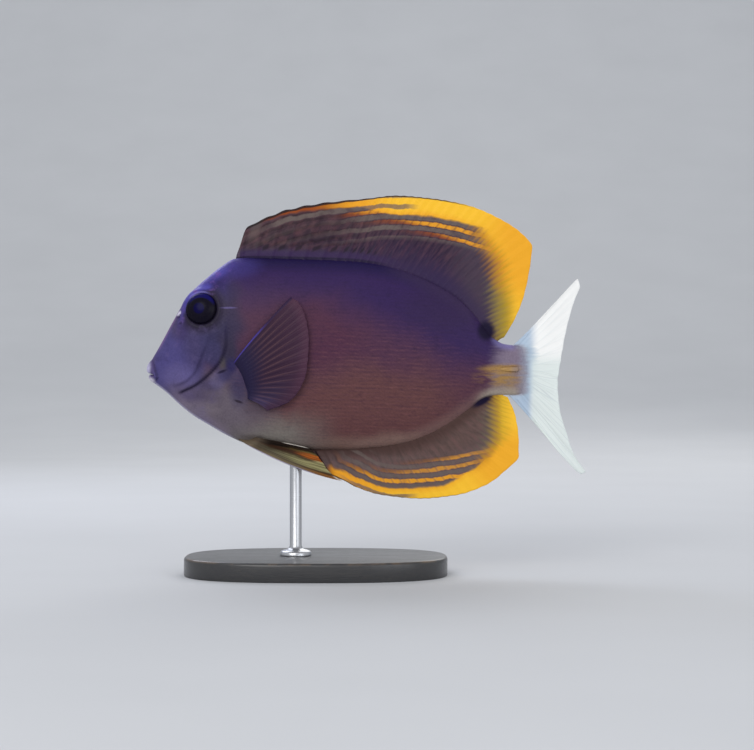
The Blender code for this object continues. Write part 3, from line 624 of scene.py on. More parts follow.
# %% Lay out the rays
# Ray number, x of its root and x and z of its tip
DORSAL = [(0, -41.6, -40.7, 103.9), (1, -39.6, -38.3, 110.8), (2, -35.4, -31.9, 114.2),
          (3, -30.6, -26, 116.5), (5, -20.4, -13.2, 118.9), (7, -10.2, 0.2, 120.2),
          (10, -2.6, 9.6, 121.2), (14, 5.6, 20, 120.4), (18, 13.6, 31.6, 118.3),
          (22, 21.4, 43, 113.6), (25, 27, 51, 107.9), (26, 28.8, 53.2, 104.6),
          (27, 30.6, 52.5, 98.4), (29, 34.3, 50.4, 88.6), (31, 38, 47.4, 81.2), (32.4, 41.2, 44.2, 75.8)]
ANAL = [(0, -18.8, -13.9, 35.6), (1, -15.2, -11.4, 32), (2, -11.6, -7.4, 30.1), (3, -8.6, -3.6, 28),
        (6, -2, 5.4, 25.2), (10, 6.6, 17.4, 24.1), (14, 15.2, 28.8, 25.2), (17, 21.6, 38.6, 28.6),
        (19, 25.8, 45.4, 33.8), (20, 27.9, 48.9, 37.7), (21, 30, 48.9, 42.5), (23, 34.4, 47.9, 50.4),
        (25.4, 41.2, 45.4, 56.6)]
# Ray number, x and z of its root, x and z of its tip
CAUDAL = [(-1, 46.2, 72.6, 52.4, 77.6), (0, 47.6, 72.4, 67.6, 94.4), (1, 48.4, 71.8, 68.5, 92),
          (2, 49, 70.8, 66.8, 87.6), (4, 49.6, 68.6, 64, 77.2), (6, 49.8, 66.6, 62.4, 68.2),
          (8, 49.8, 64.6, 61.4, 60.8), (10, 49.7, 62.6, 61.9, 53.4), (12, 49.4, 60.4, 64.3, 44.6),
          (13, 49, 59.6, 66.3, 38.6), (14, 48.4, 58.8, 70.2, 32.7), (15, 46.8, 57.9, 68.6, 32.1),
          (15.5, 45.8, 58, 60.9, 39.9), (16, 44.6, 58.2, 53.4, 49.5)]
PECTORAL = [(0, -42.4, 66.6, -23.6, 88.2), (1, -41.9, 65.6, -21.4, 86.9), (3, -41, 64, -19.2, 82.8),
            (6, -39.9, 62, -17.8, 74.8), (9, -39, 60.2, -18.4, 65.4), (11, -38.5, 59, -20.4, 59.6),
            (13, -38, 57.6, -24.4, 55), (15, -37.7, 56.2, -31, 52.4)]
PELVIC = [(0, -41, 43.4, -7.4, 29.9), (1, -39.6, 43.5, -9.2, 31), (2, -38.6, 43.6, -11.6, 32.9),
          (3, -37.8, 43.8, -13.4, 35.4), (4, -37.2, 44, -15.4, 38), (5, -36.8, 44.2, -17.6, 40.4)]
ROOT_DEPTH = 2.2
DORSAL_SPINES = 8.5


def with_root(guides, ridge_line, depth):
    """Guides whose root lies depth inside the body's ridge line."""
    return [(ray, root_x, ridge_line(root_x) + depth, tip_x, tip_z) for ray, root_x, tip_x, tip_z in guides]


print(int(DORSAL[-1][0]) + 1, "rays in the dorsal fin,", int(ANAL[-1][0]) + 1, "in the anal fin")

# %% Fold a fin from one grid
COLUMNS_PER_RAY = 8
ROWS = 40
RIM_STEPS, RIM_OVERRUN = 60, 60
MARGIN_STEPS = [0, 0.04, 0.13, 0.28]
END_COLUMNS = [0, 0.03, 0.09, 0.2]


def round_over(distance, width):
    """The half-circle profile of an edge: 0 on the edge and 1 from width inwards."""
    t = 1 - min(distance / width, 1)
    return math.sqrt(max(1 - t * t, 0))


def evenly(value):
    """The same value for every ray."""
    return lambda ray: value


def fin_sheet(name, guides, half_thickness, sideways, rib, edge, bow, notch, ridge_line=None, billow=0):
    """A closed fin whose rays run from the first guide to the last.

    half_thickness(ray, share) is the membrane's, rib(ray, share) the height and the radius of a rib in
    millimetres, sideways(x, z, share) the fin's place across the body, edge the first and last ray of
    the margin that stripes follow, bow(ray) how far a ray bows, notch(ray) how deep the margin dips
    between rays, and billow how far the membrane swells between them.
    """
    root_x, root_z, tip_x, tip_z = (through([(g[0], g[c]) for g in guides]) for c in (1, 2, 3, 4))
    first, last = guides[0][0], guides[-1][0]
    inner = [first + i / COLUMNS_PER_RAY for i in range(1, math.ceil((last - first) * COLUMNS_PER_RAY))]
    numbers = [first + e for e in END_COLUMNS] + [n for n in inner if END_COLUMNS[-1] < n - first
                                                   and n < last - END_COLUMNS[-1]]
    numbers += [last - e for e in reversed(END_COLUMNS)]

    def ends(ray):
        root, tip = Vector((root_x(ray), root_z(ray))), Vector((tip_x(ray), tip_z(ray)))
        dip = notch(ray) * math.sin(math.pi * ray) ** 2
        return root, tip + (root - tip).normalized() * dip

    def spot(ray, share):
        root, tip = ends(ray)
        across = Vector((root.y - tip.y, tip.x - root.x)).normalized()
        return root.lerp(tip, share) + across * bow(ray) * 4 * share * (1 - share)

    margin = [ends(edge[0] + (edge[1] - edge[0]) * i / RIM_STEPS)[1] for i in range(RIM_STEPS + 1)]
    margin = ([margin[0] + (margin[0] - margin[1]).normalized() * RIM_OVERRUN] + margin
              + [margin[-1] + (margin[-1] - margin[-3]).normalized() * RIM_OVERRUN])

    bm = bmesh.new()
    columns = len(numbers) - 1
    bmesh.ops.create_grid(bm, x_segments=columns, y_segments=2 * ROWS, size=1)
    layers = {key: bm.verts.layers.float.new(key) for key in ("ray", "share", "rim", "rise")}
    for v in bm.verts:
        i = round((v.co.x + 1) / 2 * columns)
        j = round((v.co.y + 1) * ROWS)
        ray, row, face = numbers[i], min(j, 2 * ROWS - j), 1 if j <= ROWS else -1
        root, tip = ends(ray)
        length = (tip - root).length
        steps_in = ROWS - row
        if steps_in < len(MARGIN_STEPS):
            share = 1 - MARGIN_STEPS[steps_in] / length
        else:
            share = row / (ROWS - len(MARGIN_STEPS) + 1) * (1 - MARGIN_STEPS[-1] / length)
        point = spot(ray, share)
        gap = (spot(min(ray + 0.5, last), share) - spot(max(ray - 0.5, first), share)).length
        aside = abs(ray - round(ray)) * gap
        height, radius = rib(ray, share)
        half = half_thickness(ray, share) + height * bell(aside, radius)
        half *= round_over((1 - share) * length, MARGIN_STEPS[-1])
        half *= round_over(min(ray - first, last - ray), END_COLUMNS[-1])
        half *= min(row / 2, 1)
        swell = billow * math.sin(2 * math.pi * ray) * smooth_step(0.15, 0.6, share)
        v.co = (point.x, sideways(point.x, point.y, share) + face * half + swell, point.y)
        v[layers["ray"]], v[layers["share"]] = ray, share
        v[layers["rim"]] = abs(offset_from(margin, point)[0])
        v[layers["rise"]] = abs(point.y - ridge_line(point.x)) if ridge_line else share * length
    bmesh.ops.remove_doubles(bm, verts=bm.verts, dist=WELD)
    return settle(name, bm)


print("a fin has", COLUMNS_PER_RAY, "columns for each ray")

# %% Make the dorsal and the anal fin


def thinning(base, core, reach, taper=0):
    """Thick in the scaly skin at the fin's root, then thinning to the margin."""
    return lambda ray, share: (core + (base / 2 - core) * (1 - smooth_step(0, reach, share))
                               + taper * (1 - share))


def spine_or_ray(ray, share):
    """The dorsal fin's spines are stout and single, its soft rays fine."""
    spiny = 1 - smooth_step(DORSAL_SPINES - 0.5, DORSAL_SPINES + 0.5, ray)
    height = (0.1 + 0.2 * spiny) * (1 - 0.7 * share)
    return height, (0.24 + 0.16 * spiny) * (1 - 0.35 * share)


def soft_ray(ray, share):
    return 0.075 * (1 - 0.6 * share), 0.24 * (1 - 0.25 * share)


def sway(amount, length):
    """A slow wave that grows towards the margin, as a living fin is never flat."""
    return lambda x, z, share: amount * math.sin(x / length) * share ** 1.5


def spine_notch(ray):
    """The margin dips deeper between the front spines than between the soft rays."""
    return 0.12 + 0.33 * (1 - smooth_step(3, 8, ray))


dorsal = fin_sheet("dorsal_fin", with_root(DORSAL, back, -ROOT_DEPTH), thinning(2.8, 0.22, 0.3, 0.15),
                   sway(0.45, 9), spine_or_ray, (1.2, 25), evenly(0.45), spine_notch, ridge_line=back,
                   billow=0.05)
anal = fin_sheet("anal_fin_sheet", with_root(ANAL, belly, ROOT_DEPTH), thinning(2.4, 0.22, 0.3, 0.15),
                 sway(0.4, 8), soft_ray, (0, 19), evenly(-0.4), evenly(0.12), ridge_line=belly, billow=0.04)
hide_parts("dorsal_fin_spiny", "dorsal_fin_soft")
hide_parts("anal_fin")
print("dorsal fin has", len(dorsal.data.polygons), "faces")

# %% Spread the tail fin
TAIL_LAST_RAY = 15


def tail_rib(ray, share):
    edge = 1 - smooth_step(0, 1.6, min(abs(ray), abs(TAIL_LAST_RAY - ray)))
    return (0.02 + 0.2 * edge) * (1 - 0.5 * share), 0.24 + 0.24 * edge


def tail_wave(x, z, share):
    return 0.7 * math.sin((z - 63) / 11) * smooth_step(0.25, 1, share)


ray_length = through([(row[0], math.hypot(row[3] - row[1], row[4] - row[2])) for row in CAUDAL])


def tail_thickness(ray, share):
    """As thick as the stalk's end where it grows out of it, thinner along its two edges."""
    inner = smooth_step(0, 3, min(ray, TAIL_LAST_RAY - ray))
    return 0.3 + (0.35 + 0.75 * inner) * (1 - smooth_step(2.5, 13, share * ray_length(ray)))


tail = fin_sheet("tail_fin", CAUDAL, tail_thickness, tail_wave, tail_rib, (0, TAIL_LAST_RAY), evenly(0),
                 evenly(0.14), billow=0.01)
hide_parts("tail_fin_upper", "tail_fin_lower")
print("tail fin has", len(tail.data.polygons), "faces")

# %% Lay the paired fins along the body
SIDES = ((-1, "left"), (1, "right"))
pectoral_lift = through([(0, -1.6), (0.14, 1.3), (0.4, 1.8), (1, 2)])


def pectoral_side(x, z, share):
    """The blade leaves the flank steeply at its root, then lies back along it."""
    return flank(x, z) + pectoral_lift(share) + 0.2 * math.sin(z / 3.2) * share


def pelvic_side(x, z, share):
    """Against the belly above, a little off the middle below."""
    return 1.9 + smooth_step(0, 0.16, share) * (1.5 + 2.2 * smooth_step(39, 43.5, z))


def pelvic_bow(ray):
    """The leading ray bows down the most, and the last one a little up."""
    return -1.6 + 1.85 * ray / PELVIC[-1][0]


def mirrored(side, sideways):
    return lambda x, z, share: side * sideways(x, z, share)


pectorals, pelvics = [], []
for side, word in SIDES:
    pectoral = fin_sheet(f"pectoral_{word}", PECTORAL, thinning(1.3, 0.24, 0.35),
                         mirrored(side, pectoral_side), soft_ray, (0, 15), evenly(0.5), evenly(0.15),
                         billow=0.05 * side)
    pelvic = fin_sheet(f"pelvic_{word}", PELVIC, thinning(1.2, 0.24, 0.35),
                       mirrored(side, pelvic_side), soft_ray, (0, 5), pelvic_bow, evenly(0.2))
    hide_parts(f"pectoral_fin_{word}")
    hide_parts(f"pelvic_fin_{word}")
    pectorals.append(pectoral)
    pelvics.append(pelvic)
print("made", len(pectorals + pelvics), "paired fins")

# %% [markdown]
# ## Eyes and tail spines
# The eye is a flattened ball that looks out where the flank does, with a low clear bulge over its iris.
# The tail spine lies folded in its groove, pointed in front and hinged at the back. Both are small, so
# a ball pushed into shape and a bevelled outline are all they need.

# %% Set the eyes
EYE_DEPTH, EYE_SUNK, EYE_SQUARED = 2.5, 1.1, 0.35
CORNEA_RADIUS, CORNEA_HEIGHT = 3.6, 0.28


def outward(x, z):
    """The flank's outward direction on the right side at x and z."""
    step = 0.4
    slope_x = (flank(x + step, z) - flank(x - step, z)) / (2 * step)
    slope_z = (flank(x, z + step) - flank(x, z - step)) / (2 * step)
    return Vector((-slope_x, 1, -slope_z)).normalized()


def build_eye(name, side):
    bm = bmesh.new()
    bmesh.ops.create_uvsphere(bm, u_segments=72, v_segments=48, radius=1)
    bmesh.ops.scale(bm, vec=(EYE_RADIUS, EYE_RADIUS, EYE_DEPTH), verts=bm.verts)
    for v in bm.verts:
        if v.co.z > 0:
            reach = math.hypot(v.co.x, v.co.y) / CORNEA_RADIUS
            v.co.z += CORNEA_HEIGHT * math.sqrt(max(1 - reach ** 2, 0))
    facing = outward(EYE_X, EYE_Z).lerp(Vector((0, 1, 0)), EYE_SQUARED).normalized()
    bmesh.ops.rotate(bm, verts=bm.verts, matrix=facing.to_track_quat("Z", "Y").to_matrix())
    bmesh.ops.translate(bm, verts=bm.verts, vec=(EYE_X, flank(EYE_X, EYE_Z) - EYE_SUNK, EYE_Z))
    if side < 0:
        bmesh.ops.scale(bm, vec=(1, -1, 1), verts=bm.verts)
    return settle(name, bm)


eyes = []
for side, word in SIDES:
    eye = build_eye(f"eyeball_{word}", side)
    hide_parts(f"eye_{word}")
    eyes.append(eye)
print("eyes look out", EYE_DEPTH - EYE_SUNK, "mm past the flank")

# %% Fold in the tail spines
SPINE_TIP_X, SPINE_HINGE_X, SPINE_HEIGHT, SPINE_DEPTH, SPINE_PROUD = 42.2, 48.6, 1.4, 1, 0.28


def soften(bm, edges, width, segments):
    """Rounds sharp edges with a bevel."""
    bmesh.ops.bevel(bm, geom=edges, offset=width, segments=segments, profile=0.5, affect="EDGES",
                    material=-1)


def build_spine(name, side):
    """A flat blade with its outline drawn as one face, extruded and bevelled."""
    radius = SPINE_HEIGHT / 2
    outline = [(SPINE_HINGE_X - radius + radius * math.cos(turn), SCALPEL_Z + radius * math.sin(turn))
               for turn in (math.pi / 2 - math.pi * i / 10 for i in range(11))]
    outline += [(SPINE_TIP_X + reach, SCALPEL_Z + rise * radius) for reach, rise in
                ((2.6, -0.95), (1, -0.5), (0, 0), (1, 0.5), (2.6, 0.95))]
    face_y = flank(SCALPEL_X, SCALPEL_Z)
    bm = bmesh.new()
    face = bm.faces.new([bm.verts.new((x, face_y - SPINE_DEPTH, z)) for x, z in outline])
    move_made(bm, bmesh.ops.extrude_face_region(bm, geom=[face]), 0, SPINE_DEPTH + SPINE_PROUD, 0)
    soften(bm, [e for e in bm.edges if all(v.co.y > face_y for v in e.verts)], 0.3, 4)
    bmesh.ops.scale(bm, vec=(1, side, 1), verts=bm.verts)
    return settle(name, bm)


spines = []
for side, word in SIDES:
    spine = build_spine(f"tail_spine_{word}", side)
    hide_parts(f"scalpel_{word}")
    spines.append(spine)
print("tail spine is", round(SPINE_HINGE_X - SPINE_TIP_X, 1), "mm long")

# %% [markdown]
# ## The stand
# A museum model stands on a lacquered wooden board with one steel rod. The board's oval is a circle pushed
# out towards its corners, extruded and rounded with a bevel, and the rod is a profile spun round its axis.

# %% Turn the stand
BASE_X, BASE_LENGTH, BASE_WIDTH, BASE_HEIGHT, BASE_CORNERS = -16, 84, 54, 6, 2.6
ROD_X, ROD_RADIUS, ROD_TOP = -22.5, 1.9, 41
# Radius and height above the board, up the rod's turned foot
ROD_FOOT = [(0, 0), (4.8, 0), (5, 0.2), (5, 1.1), (4.75, 1.4), (3.9, 1.8), (2.8, 2.05), (2.25, 2.4),
            (ROD_RADIUS, 3.1)]


def build_base():
    bm = bmesh.new()
    made = bmesh.ops.create_circle(bm, cap_ends=True, segments=160, radius=1)
    for v in made["verts"]:
        turn = math.atan2(v.co.y, v.co.x)
        across, up = math.cos(turn), math.sin(turn)
        reach = (abs(across) ** BASE_CORNERS + abs(up) ** BASE_CORNERS) ** (-1 / BASE_CORNERS)
        v.co = (BASE_X + BASE_LENGTH / 2 * reach * across, BASE_WIDTH / 2 * reach * up, 0)
    move_made(bm, bmesh.ops.extrude_face_region(bm, geom=bm.faces[:]), 0, 0, BASE_HEIGHT)
    soften(bm, [e for e in bm.edges if all(v.co.z > BASE_HEIGHT / 2 for v in e.verts)], 1, 5)
    soften(bm, [e for e in bm.edges if all(v.co.z < WELD for v in e.verts)], 0.35, 2)
    return settle("stand_board", bm)


def build_rod():
    """Its top end runs up inside the belly, where the skin hides it."""
    profile = [(radius, BASE_HEIGHT + z) for radius, z in ROD_FOOT] + [(ROD_RADIUS, ROD_TOP), (0, ROD_TOP)]
    bm = bmesh.new()
    verts = [bm.verts.new((radius, 0, z)) for radius, z in profile]
    edges = [bm.edges.new(pair) for pair in zip(verts, verts[1:])]
    bmesh.ops.spin(bm, geom=verts + edges, axis=(0, 0, 1), cent=(0, 0, 0), angle=2 * math.pi, steps=72,
                   use_merge=True)
    bmesh.ops.remove_doubles(bm, verts=bm.verts, dist=WELD)
    bmesh.ops.translate(bm, verts=bm.verts, vec=(ROD_X, 0, 0))
    return settle("stand_upright", bm)


board, rod = build_base(), build_rod()
for piece in (board, rod):
    piece.data.set_sharp_from_angle(angle=math.radians(40))
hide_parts("stand_base")
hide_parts("stand_rod")
print("board is", BASE_LENGTH, "by", BASE_WIDTH, "mm")

# %% [markdown]
# ## Colours and soft-edged areas
# The fish's colours run into one another without an edge. The paint is therefore a stack of layers: each
# layer is one colour, and a mask that says where it lies. `patch` is the mask used most, an ellipse
# with a soft edge.

# %% Name the colours
PAINT = {
    "plum": (79, 49, 71), "wine": (80, 44, 64), "russet": (98, 64, 64),
    "indigo": (51, 33, 80), "night indigo": (26, 19, 63), "cheek violet": (63, 57, 98),
    "snout violet": (76, 70, 124), "nape violet": (84, 77, 168), "nape shade": (60, 48, 104),
    "dusk": (52, 42, 70), "gill slate": (54, 50, 88), "mauve grey": (104, 94, 105),
    "belly grey": (124, 118, 112), "belly brown": (122, 96, 88), "stalk grey": (125, 112, 130),
    "tan": (140, 118, 104), "ochre": (164, 126, 60), "olive": (90, 84, 68), "ink": (22, 14, 42),
    "tail white": (242, 242, 240), "tail shade": (182, 200, 210), "rose": (132, 86, 88),
    "yellow": (248, 194, 50), "amber": (234, 160, 38), "lime": (166, 142, 42),
    "orange": (146, 70, 24), "pewter": (104, 92, 88), "fin violet": (52, 36, 72),
    "soot": (26, 14, 20), "edge violet": (66, 55, 134), "lip violet": (92, 76, 112),
    "lavender highlight": (134, 126, 200),
}


def away(x, z, centre_x, centre_z, radius_x=1, radius_z=1):
    """The distance from a point, in radii of an ellipse round it."""
    return (((x - centre_x) / radius_x) ** 2 + ((z - centre_z) / radius_z) ** 2) ** 0.5


def patch(x, z, centre_x, centre_z, radius_x, radius_z, softness):
    """1 inside an ellipse, fading to 0 across its soft edge."""
    return away(x, z, centre_x, centre_z, radius_x, radius_z).ramp(1 + softness, 1 - softness)


def spots(x, z, table):
    """Layers of soft spots: centre x and z, radius x and z, softness, strength and colour."""
    return [(patch(x, z, *oval) * strength, paint) for *oval, strength, paint in table]


def fraction(value):
    return value.math("FRACT")


def root_spots(x, z):
    """The two dark spots at the rear roots of the dorsal and the anal fin, the lower one slanting."""
    return (spots(x, z, [(38.3, 77.8, 2.7, 3, 0.4, 1, "ink")])
            + spots(x, z - (x - 37.2) * 0.5, [(37.2, 55.3, 2.9, 1.15, 0.5, 1, "ink")]))


def layered(finish, ground, layers):
    """Lays (mask, colour) layers over a ground colour in turn. A mask of None is a layer left out."""
    for mask, paint in layers:
        ground = ground if mask is None else finish.mix(mask, ground, paint)
    return ground


print(len(PAINT), "colours named")

# %% [markdown]
# ## The skin's paint
# The body is plum, indigo along the back, russet low on the flank and grey on the belly, and the face is a
# cool slate. Surgeonfish scales are tiny, so the eye sees them as rows of fine wavy lines. Their height is
# a bump made of two sets of staggered domes, tilted so that each scale overlaps the next, and their colour
# is a set of streaks that come and go along the rows.

# %% Draw the scales
SCALE_LENGTH, SCALE_ROW = 1.9, 1.3


def scale_domes(along, around):
    """Overlapping scales in staggered rows, from 0 to about 1."""
    domes = []
    for shift in (0, 0.5):
        a = fraction(along / SCALE_LENGTH + shift) - 0.5
        b = fraction(around / SCALE_ROW + shift) - 0.5
        domes.append(1 - (a * a + b * b) * 2.4 + a * 0.5)
    return domes[0].at_least(domes[1])


def row_streaks(finish, along, around, low, high):
    """Short streaks along the scale rows, where a stretched noise is between low and high."""
    wander = finish.noise(finish.vector(along * 0.11, around * 0.2), 1, 2) * 2.4
    rows = (around + wander).wave(SCALE_ROW)
    gaps = finish.noise(finish.vector(along * 0.3, around * 0.75, 7), 1, 3, 0.6)
    return rows.ramp(0.35, 0.95) * gaps.ramp(low, high)


print("scales are", SCALE_LENGTH, "by", SCALE_ROW, "mm")

# %% Paint the tail stalk
STALK_Z = 65


def stalk_layers(f, x, z):
    """The stalk's layers, shared by the skin and the tail fin's root so that no seam shows."""
    fray = f.noise(f.vector(x * 0.22, z * 1.3), 1, 3, 0.6) - 0.5
    edge = x + fray * 6
    fin_edge = x + fray * 3 + abs(z - STALK_Z).ramp(6, 10, 0, 2.4)
    stalk = patch(edge, z, 48.5, STALK_Z, 7.6, 11, 0.45)
    gold = f.noise(f.vector(x * 0.2, z * 0.9, 3), 1, 3)
    return [
        (stalk, "stalk grey"),
        (stalk * (z + fray * 3).ramp(68, 63.5) * edge.ramp(49.5, 46, 0.4, 1), "tan"),
        (gold.ramp(0.38, 0.62) * patch(edge, z + fray * 1.5, 44, 63, 6.5, 2.6, 0.9) * 0.75, "ochre"),
        *spots(edge, z + fray * 1.2, [(43.4, 65.7, 5.4, 1.1, 0.9, 0.85, "ochre")]),
        (fin_edge.ramp(47.6, 51.6) * 0.85, (146, 150, 166)),
        (fin_edge.ramp(50.6, 53), (166, 184, 202)),
        (fin_edge.ramp(52.6, 55.8), "tail white"),
    ]


print("stalk paint is centred", STALK_Z, "mm up")

# %% Paint the body
BACK_PAINT_FRONT, BACK_PAINT_FALL = 90, 22
# Soft spots of the cheek and throat and of the nape, and the painted highlights on the lips: centre x and z,
# radius x and z, softness, strength and colour
CHEEK_SPOTS = [
    (-59.3, 79.5, 3, 4, 0.6, 0.5, (68, 56, 74)),
    # Paler throat: partly its own colour, partly painted light that offsets the shade under the head
    (-54, 52.8, 6.5, 2.6, 0.6, 0.5, (132, 120, 128)),
    (-48.5, 60.6, 3, 1.8, 0.6, 0.6, (64, 56, 92)),
    (-46.8, 62, 2.4, 2.6, 0.6, 0.5, (104, 96, 132)),
    (-40, 60.5, 3, 6, 0.6, 0.75, (58, 52, 86)),
    (-42.2, 66.6, 1.6, 2.2, 0.6, 0.8, (36, 32, 82)),
    (-44.6, 63.4, 2.2, 2, 0.6, 0.7, (48, 46, 88)),
]
NAPE_SPOTS = [
    (-40.5, 98.6, 6, 3.6, 0.7, 0.7, (60, 52, 118)),
    (-47.5, 90.8, 5.5, 4, 0.7, 0.7, (42, 32, 82)),
    (-46.5, 78.6, 3.6, 4, 0.6, 0.6, (40, 37, 70)),
    (-51.5, 91.4, 2.6, 1.2, 0.6, 0.7, (86, 80, 176)),
]
LIP_HIGHLIGHTS = [
    (-69.9, 65.8, 1.1, 2.3, 0.7, 0.8, (204, 199, 230)),
    (-68.9, 61.9, 1.4, 0.9, 0.6, 0.85, (218, 212, 228)),
]


def paint_skin():
    f = Finish("fish_skin", coat=0.03, coat_roughness=0.25, gloss=0.1)
    x, y, z = f.place()
    along, around, crease_shade, crown, keel = (f.attribute(name) for name in SKIN_LAYERS)
    drift = f.noise(f.vector(x, z), 0.085, 2) - 0.5
    cloud = f.noise(f.vector(x, z, 9), 0.34, 4, 0.6)
    px, pz = x + drift * 10, z + drift * 8
    shade_line = x.ramp(-20, 42, BACK_PAINT_FRONT, BACK_PAINT_FRONT - BACK_PAINT_FALL)
    forehead = x.band(-61, -55, -45.5, -38)
    reach = away(x, z, EYE_X, EYE_Z)
    ground = layered(f, "plum", [
        (patch(px, pz, -17, 77, 17, 13, 0.6) * 0.8, "wine"),
        (patch(px, pz, 1, 52, 34, 14, 0.5), "russet"),
        ((pz - shade_line).ramp(-10, 6), "indigo"),
        (crown.ramp(6.5, 0.8) * x.band(-42, -36, 4, 36) * 0.9, "night indigo"),
        (patch(px, pz, 25, 85, 12, 7, 0.6) * 0.5, (50, 36, 66)),
        (pz.ramp(47, 41) * x.ramp(40, 20), "belly brown"),
        # Grey low on the belly: partly its own colour, partly painted light that offsets the shade under the
        # body
        (pz.ramp(54.5, 44.5) * x.ramp(-6, -28), "belly grey"),
        # Paler along the belly's lower edge: partly the belly's own pale colour, partly painted light that
        # offsets the shade under the body
        (keel.ramp(5, 0.5) * x.ramp(-12, 0) * x.ramp(34, 4, 0.35, 0.62), (148, 120, 112)),
        (patch(px, pz, -47, 53, 14, 10, 0.6), "mauve grey"),
        (patch(px, pz, -35.2, 53.8, 4, 4, 0.6) * 0.5, (74, 62, 74)),
        (patch(px, z, -45, 79.5, 6, 14, 0.5), "dusk"),
        ((x - (pz - 58) * 0.22).ramp(-49, -54.5) * 0.95, "cheek violet"),
        ((x + drift * 5 + (z - 74) * 0.3).ramp(-55, -61.5) * 0.9, "snout violet"),
        (patch(px, pz, -48.4, 71.5, 3.4, 7, 0.5) * 0.85, "gill slate"),
        (patch(x, z, -43.2, 70.5, 2.2, 6, 0.5) * 0.8, (47, 42, 64)),
        (patch(x, z, -45.2, 67, 1, 2.2, 0.7) * 0.4, "olive"),
        # Paler chin: partly its own colour, partly painted light that offsets the shade under the head
        (patch(x, z, -59, 62, 5.6, 4.6, 0.6) * 0.8, (97, 89, 137)),
        (patch(px, pz, -56.5, 57.2, 8, 3.6, 0.6) * 0.8, (94, 82, 107)),
        (patch(px, pz, -50.5, 58.5, 5, 4.5, 0.6) * 0.5, (82, 72, 92)),
        (keel.ramp(4, 1) * x.band(-64, -58, -46, -41) * 0.5, (138, 124, 144)),
        *spots(x, z, CHEEK_SPOTS),
        (crown.ramp(9, 4.5) * forehead, "nape shade"),
        (crown.ramp(4.6, 1.6) * forehead, "nape violet"),
        *spots(x, z, NAPE_SPOTS),
        # Painted shade: two dark rings round the eye's sunken socket
        (reach.ramp(9.4, 6) * crown.ramp(2.6, 5.6) * 0.85, (47, 40, 56)),
        (reach.ramp(6.8, 5.4) * crown.ramp(1.5, 3.5) * 0.75, (30, 25, 40)),
    ])
    streaks = row_streaks(f, along, around, 0.4, 0.66)
    dim_streaks = row_streaks(f, along + 40, around + SCALE_ROW * 0.5, 0.4, 0.62)
    on_body = x.ramp(-40, -30)
    low_flank = patch(x, z, -1, 59, 34, 19, 0.5)
    tick_z = z - (x + 45.3) * 0.36
    colour = layered(f, ground, [
        (cloud.ramp(0.5, 0.75) * x.ramp(-42, -50) * 0.3, (100, 88, 132)),
        (cloud.ramp(0.5, 0.66) * crown.ramp(8, 3) * forehead * 0.4, (116, 76, 156)),
        (cloud.ramp(0.5, 0.25) * 0.18, "ink"),
        (streaks * low_flank * 0.2, "rose"),
        (dim_streaks * on_body * z.ramp(48, 62, 0.12, 0.24), (44, 28, 58)),
        *stalk_layers(f, x, z)[:-1],
        (keel.ramp(3.6, 0.6) * x.band(33, 40, 47, 50) * 0.75, (176, 166, 152)),
        (crown.ramp(2.6, 0.4) * x.band(38.5, 42, 46, 49) * 0.65, (122, 116, 172)),
        *root_spots(x, z),
        # Painted highlight: a thin pale violet line along the forehead's edge
        (crown.ramp(0.9, 0.2) * forehead * 0.6, "lavender highlight"),
        (crown.ramp(1.2, 0.3) * x.band(-67.5, -65, -61, -57) * 0.5, (134, 96, 150)),
        # Painted highlight: a thin pale line along the lower edge of the head and throat
        (keel.ramp(0.9, 0.2) * x.ramp(-40, -46) * 0.6, (190, 184, 216)),
        # Painted highlight: a thin pale violet arc on the skin over the eye
        (abs(reach - EYE_RADIUS - 0.3).ramp(0.5, 0.15) * z.ramp(EYE_Z + 2.8, EYE_Z + 4.8)
         * x.ramp(-48.5, -51.5) * 0.6, "lavender highlight"),
        # Painted shade: the socket's steep inner wall round the eyeball painted near black
        (reach.ramp(EYE_RADIUS + 0.15, EYE_RADIUS - 0.15), (14, 10, 24)),
        (patch(x, z, -43.3, 84.9, 2.2, 0.28, 0.6) * 0.5, (112, 100, 158)),
        # Painted highlight: a white glint on the front nostril's flap
        (patch(z, y, 83.3, 3.8, 0.8, 1, 0.4) * x.ramp(-55, -57) * 0.85, (216, 210, 230)),
        (patch(x, tick_z, -45.3, 64.8, 1.4, 0.42, 0.5) * 0.85, "ink"),
        (patch(x, z + (x + 40.1) * 0.3, -40.2, 55.3, 1.3, 0.42, 0.5) * 0.7, "soot"),
        (patch(x, z, -36.4, 43.9, 3.4, 0.8, 0.7) * 0.45, (54, 42, 36)),
        (x.ramp(-66.4, -68.4) * 0.5, "lip violet"),
        # Painted highlights: pale glints on the upper and the lower lip
        *spots(x, z, LIP_HIGHLIGHTS),
        # Painted shade: ink darkens the creases of the gill opening, the cheek's edge, the nostrils and the
        # mouth's fold
        (crease_shade * 0.9, "ink"),
        # Painted light: a lighter strip along the back under the soft dorsal fin, which offsets the shade at
        # the fin's root
        (crown.ramp(6, 0.3) * x.band(2, 14, 32, 36) * 0.6, (62, 48, 78)),
        # Painted shade: a dark line where the spiny dorsal fin's root meets the back
        (crown.ramp(0.7, 0.2) * x.band(-38, -35, 0, 10) * 0.8, "ink"),
    ])
    speck = f.noise(f.vector(x, z, y), 1.6, 4, 0.65)
    colour = f.mix(speck.ramp(0.35, 0.7) * 0.16, colour, "ink")
    domes = scale_domes(along + drift * 6, around + (speck - 0.5) * 0.5)
    scaled = x.ramp(-63, -54, 0.15, 1) * reach.ramp(6.2, 7)
    height = domes * scaled + speck * 0.25
    roughness = speck.ramp(0.3, 0.8, 0.4, 0.56)
    return f.shade(Base_Color=colour, Roughness=roughness, Normal=f.bump(height, 0.055))


dress([skin], paint_skin())
print("skin painted")

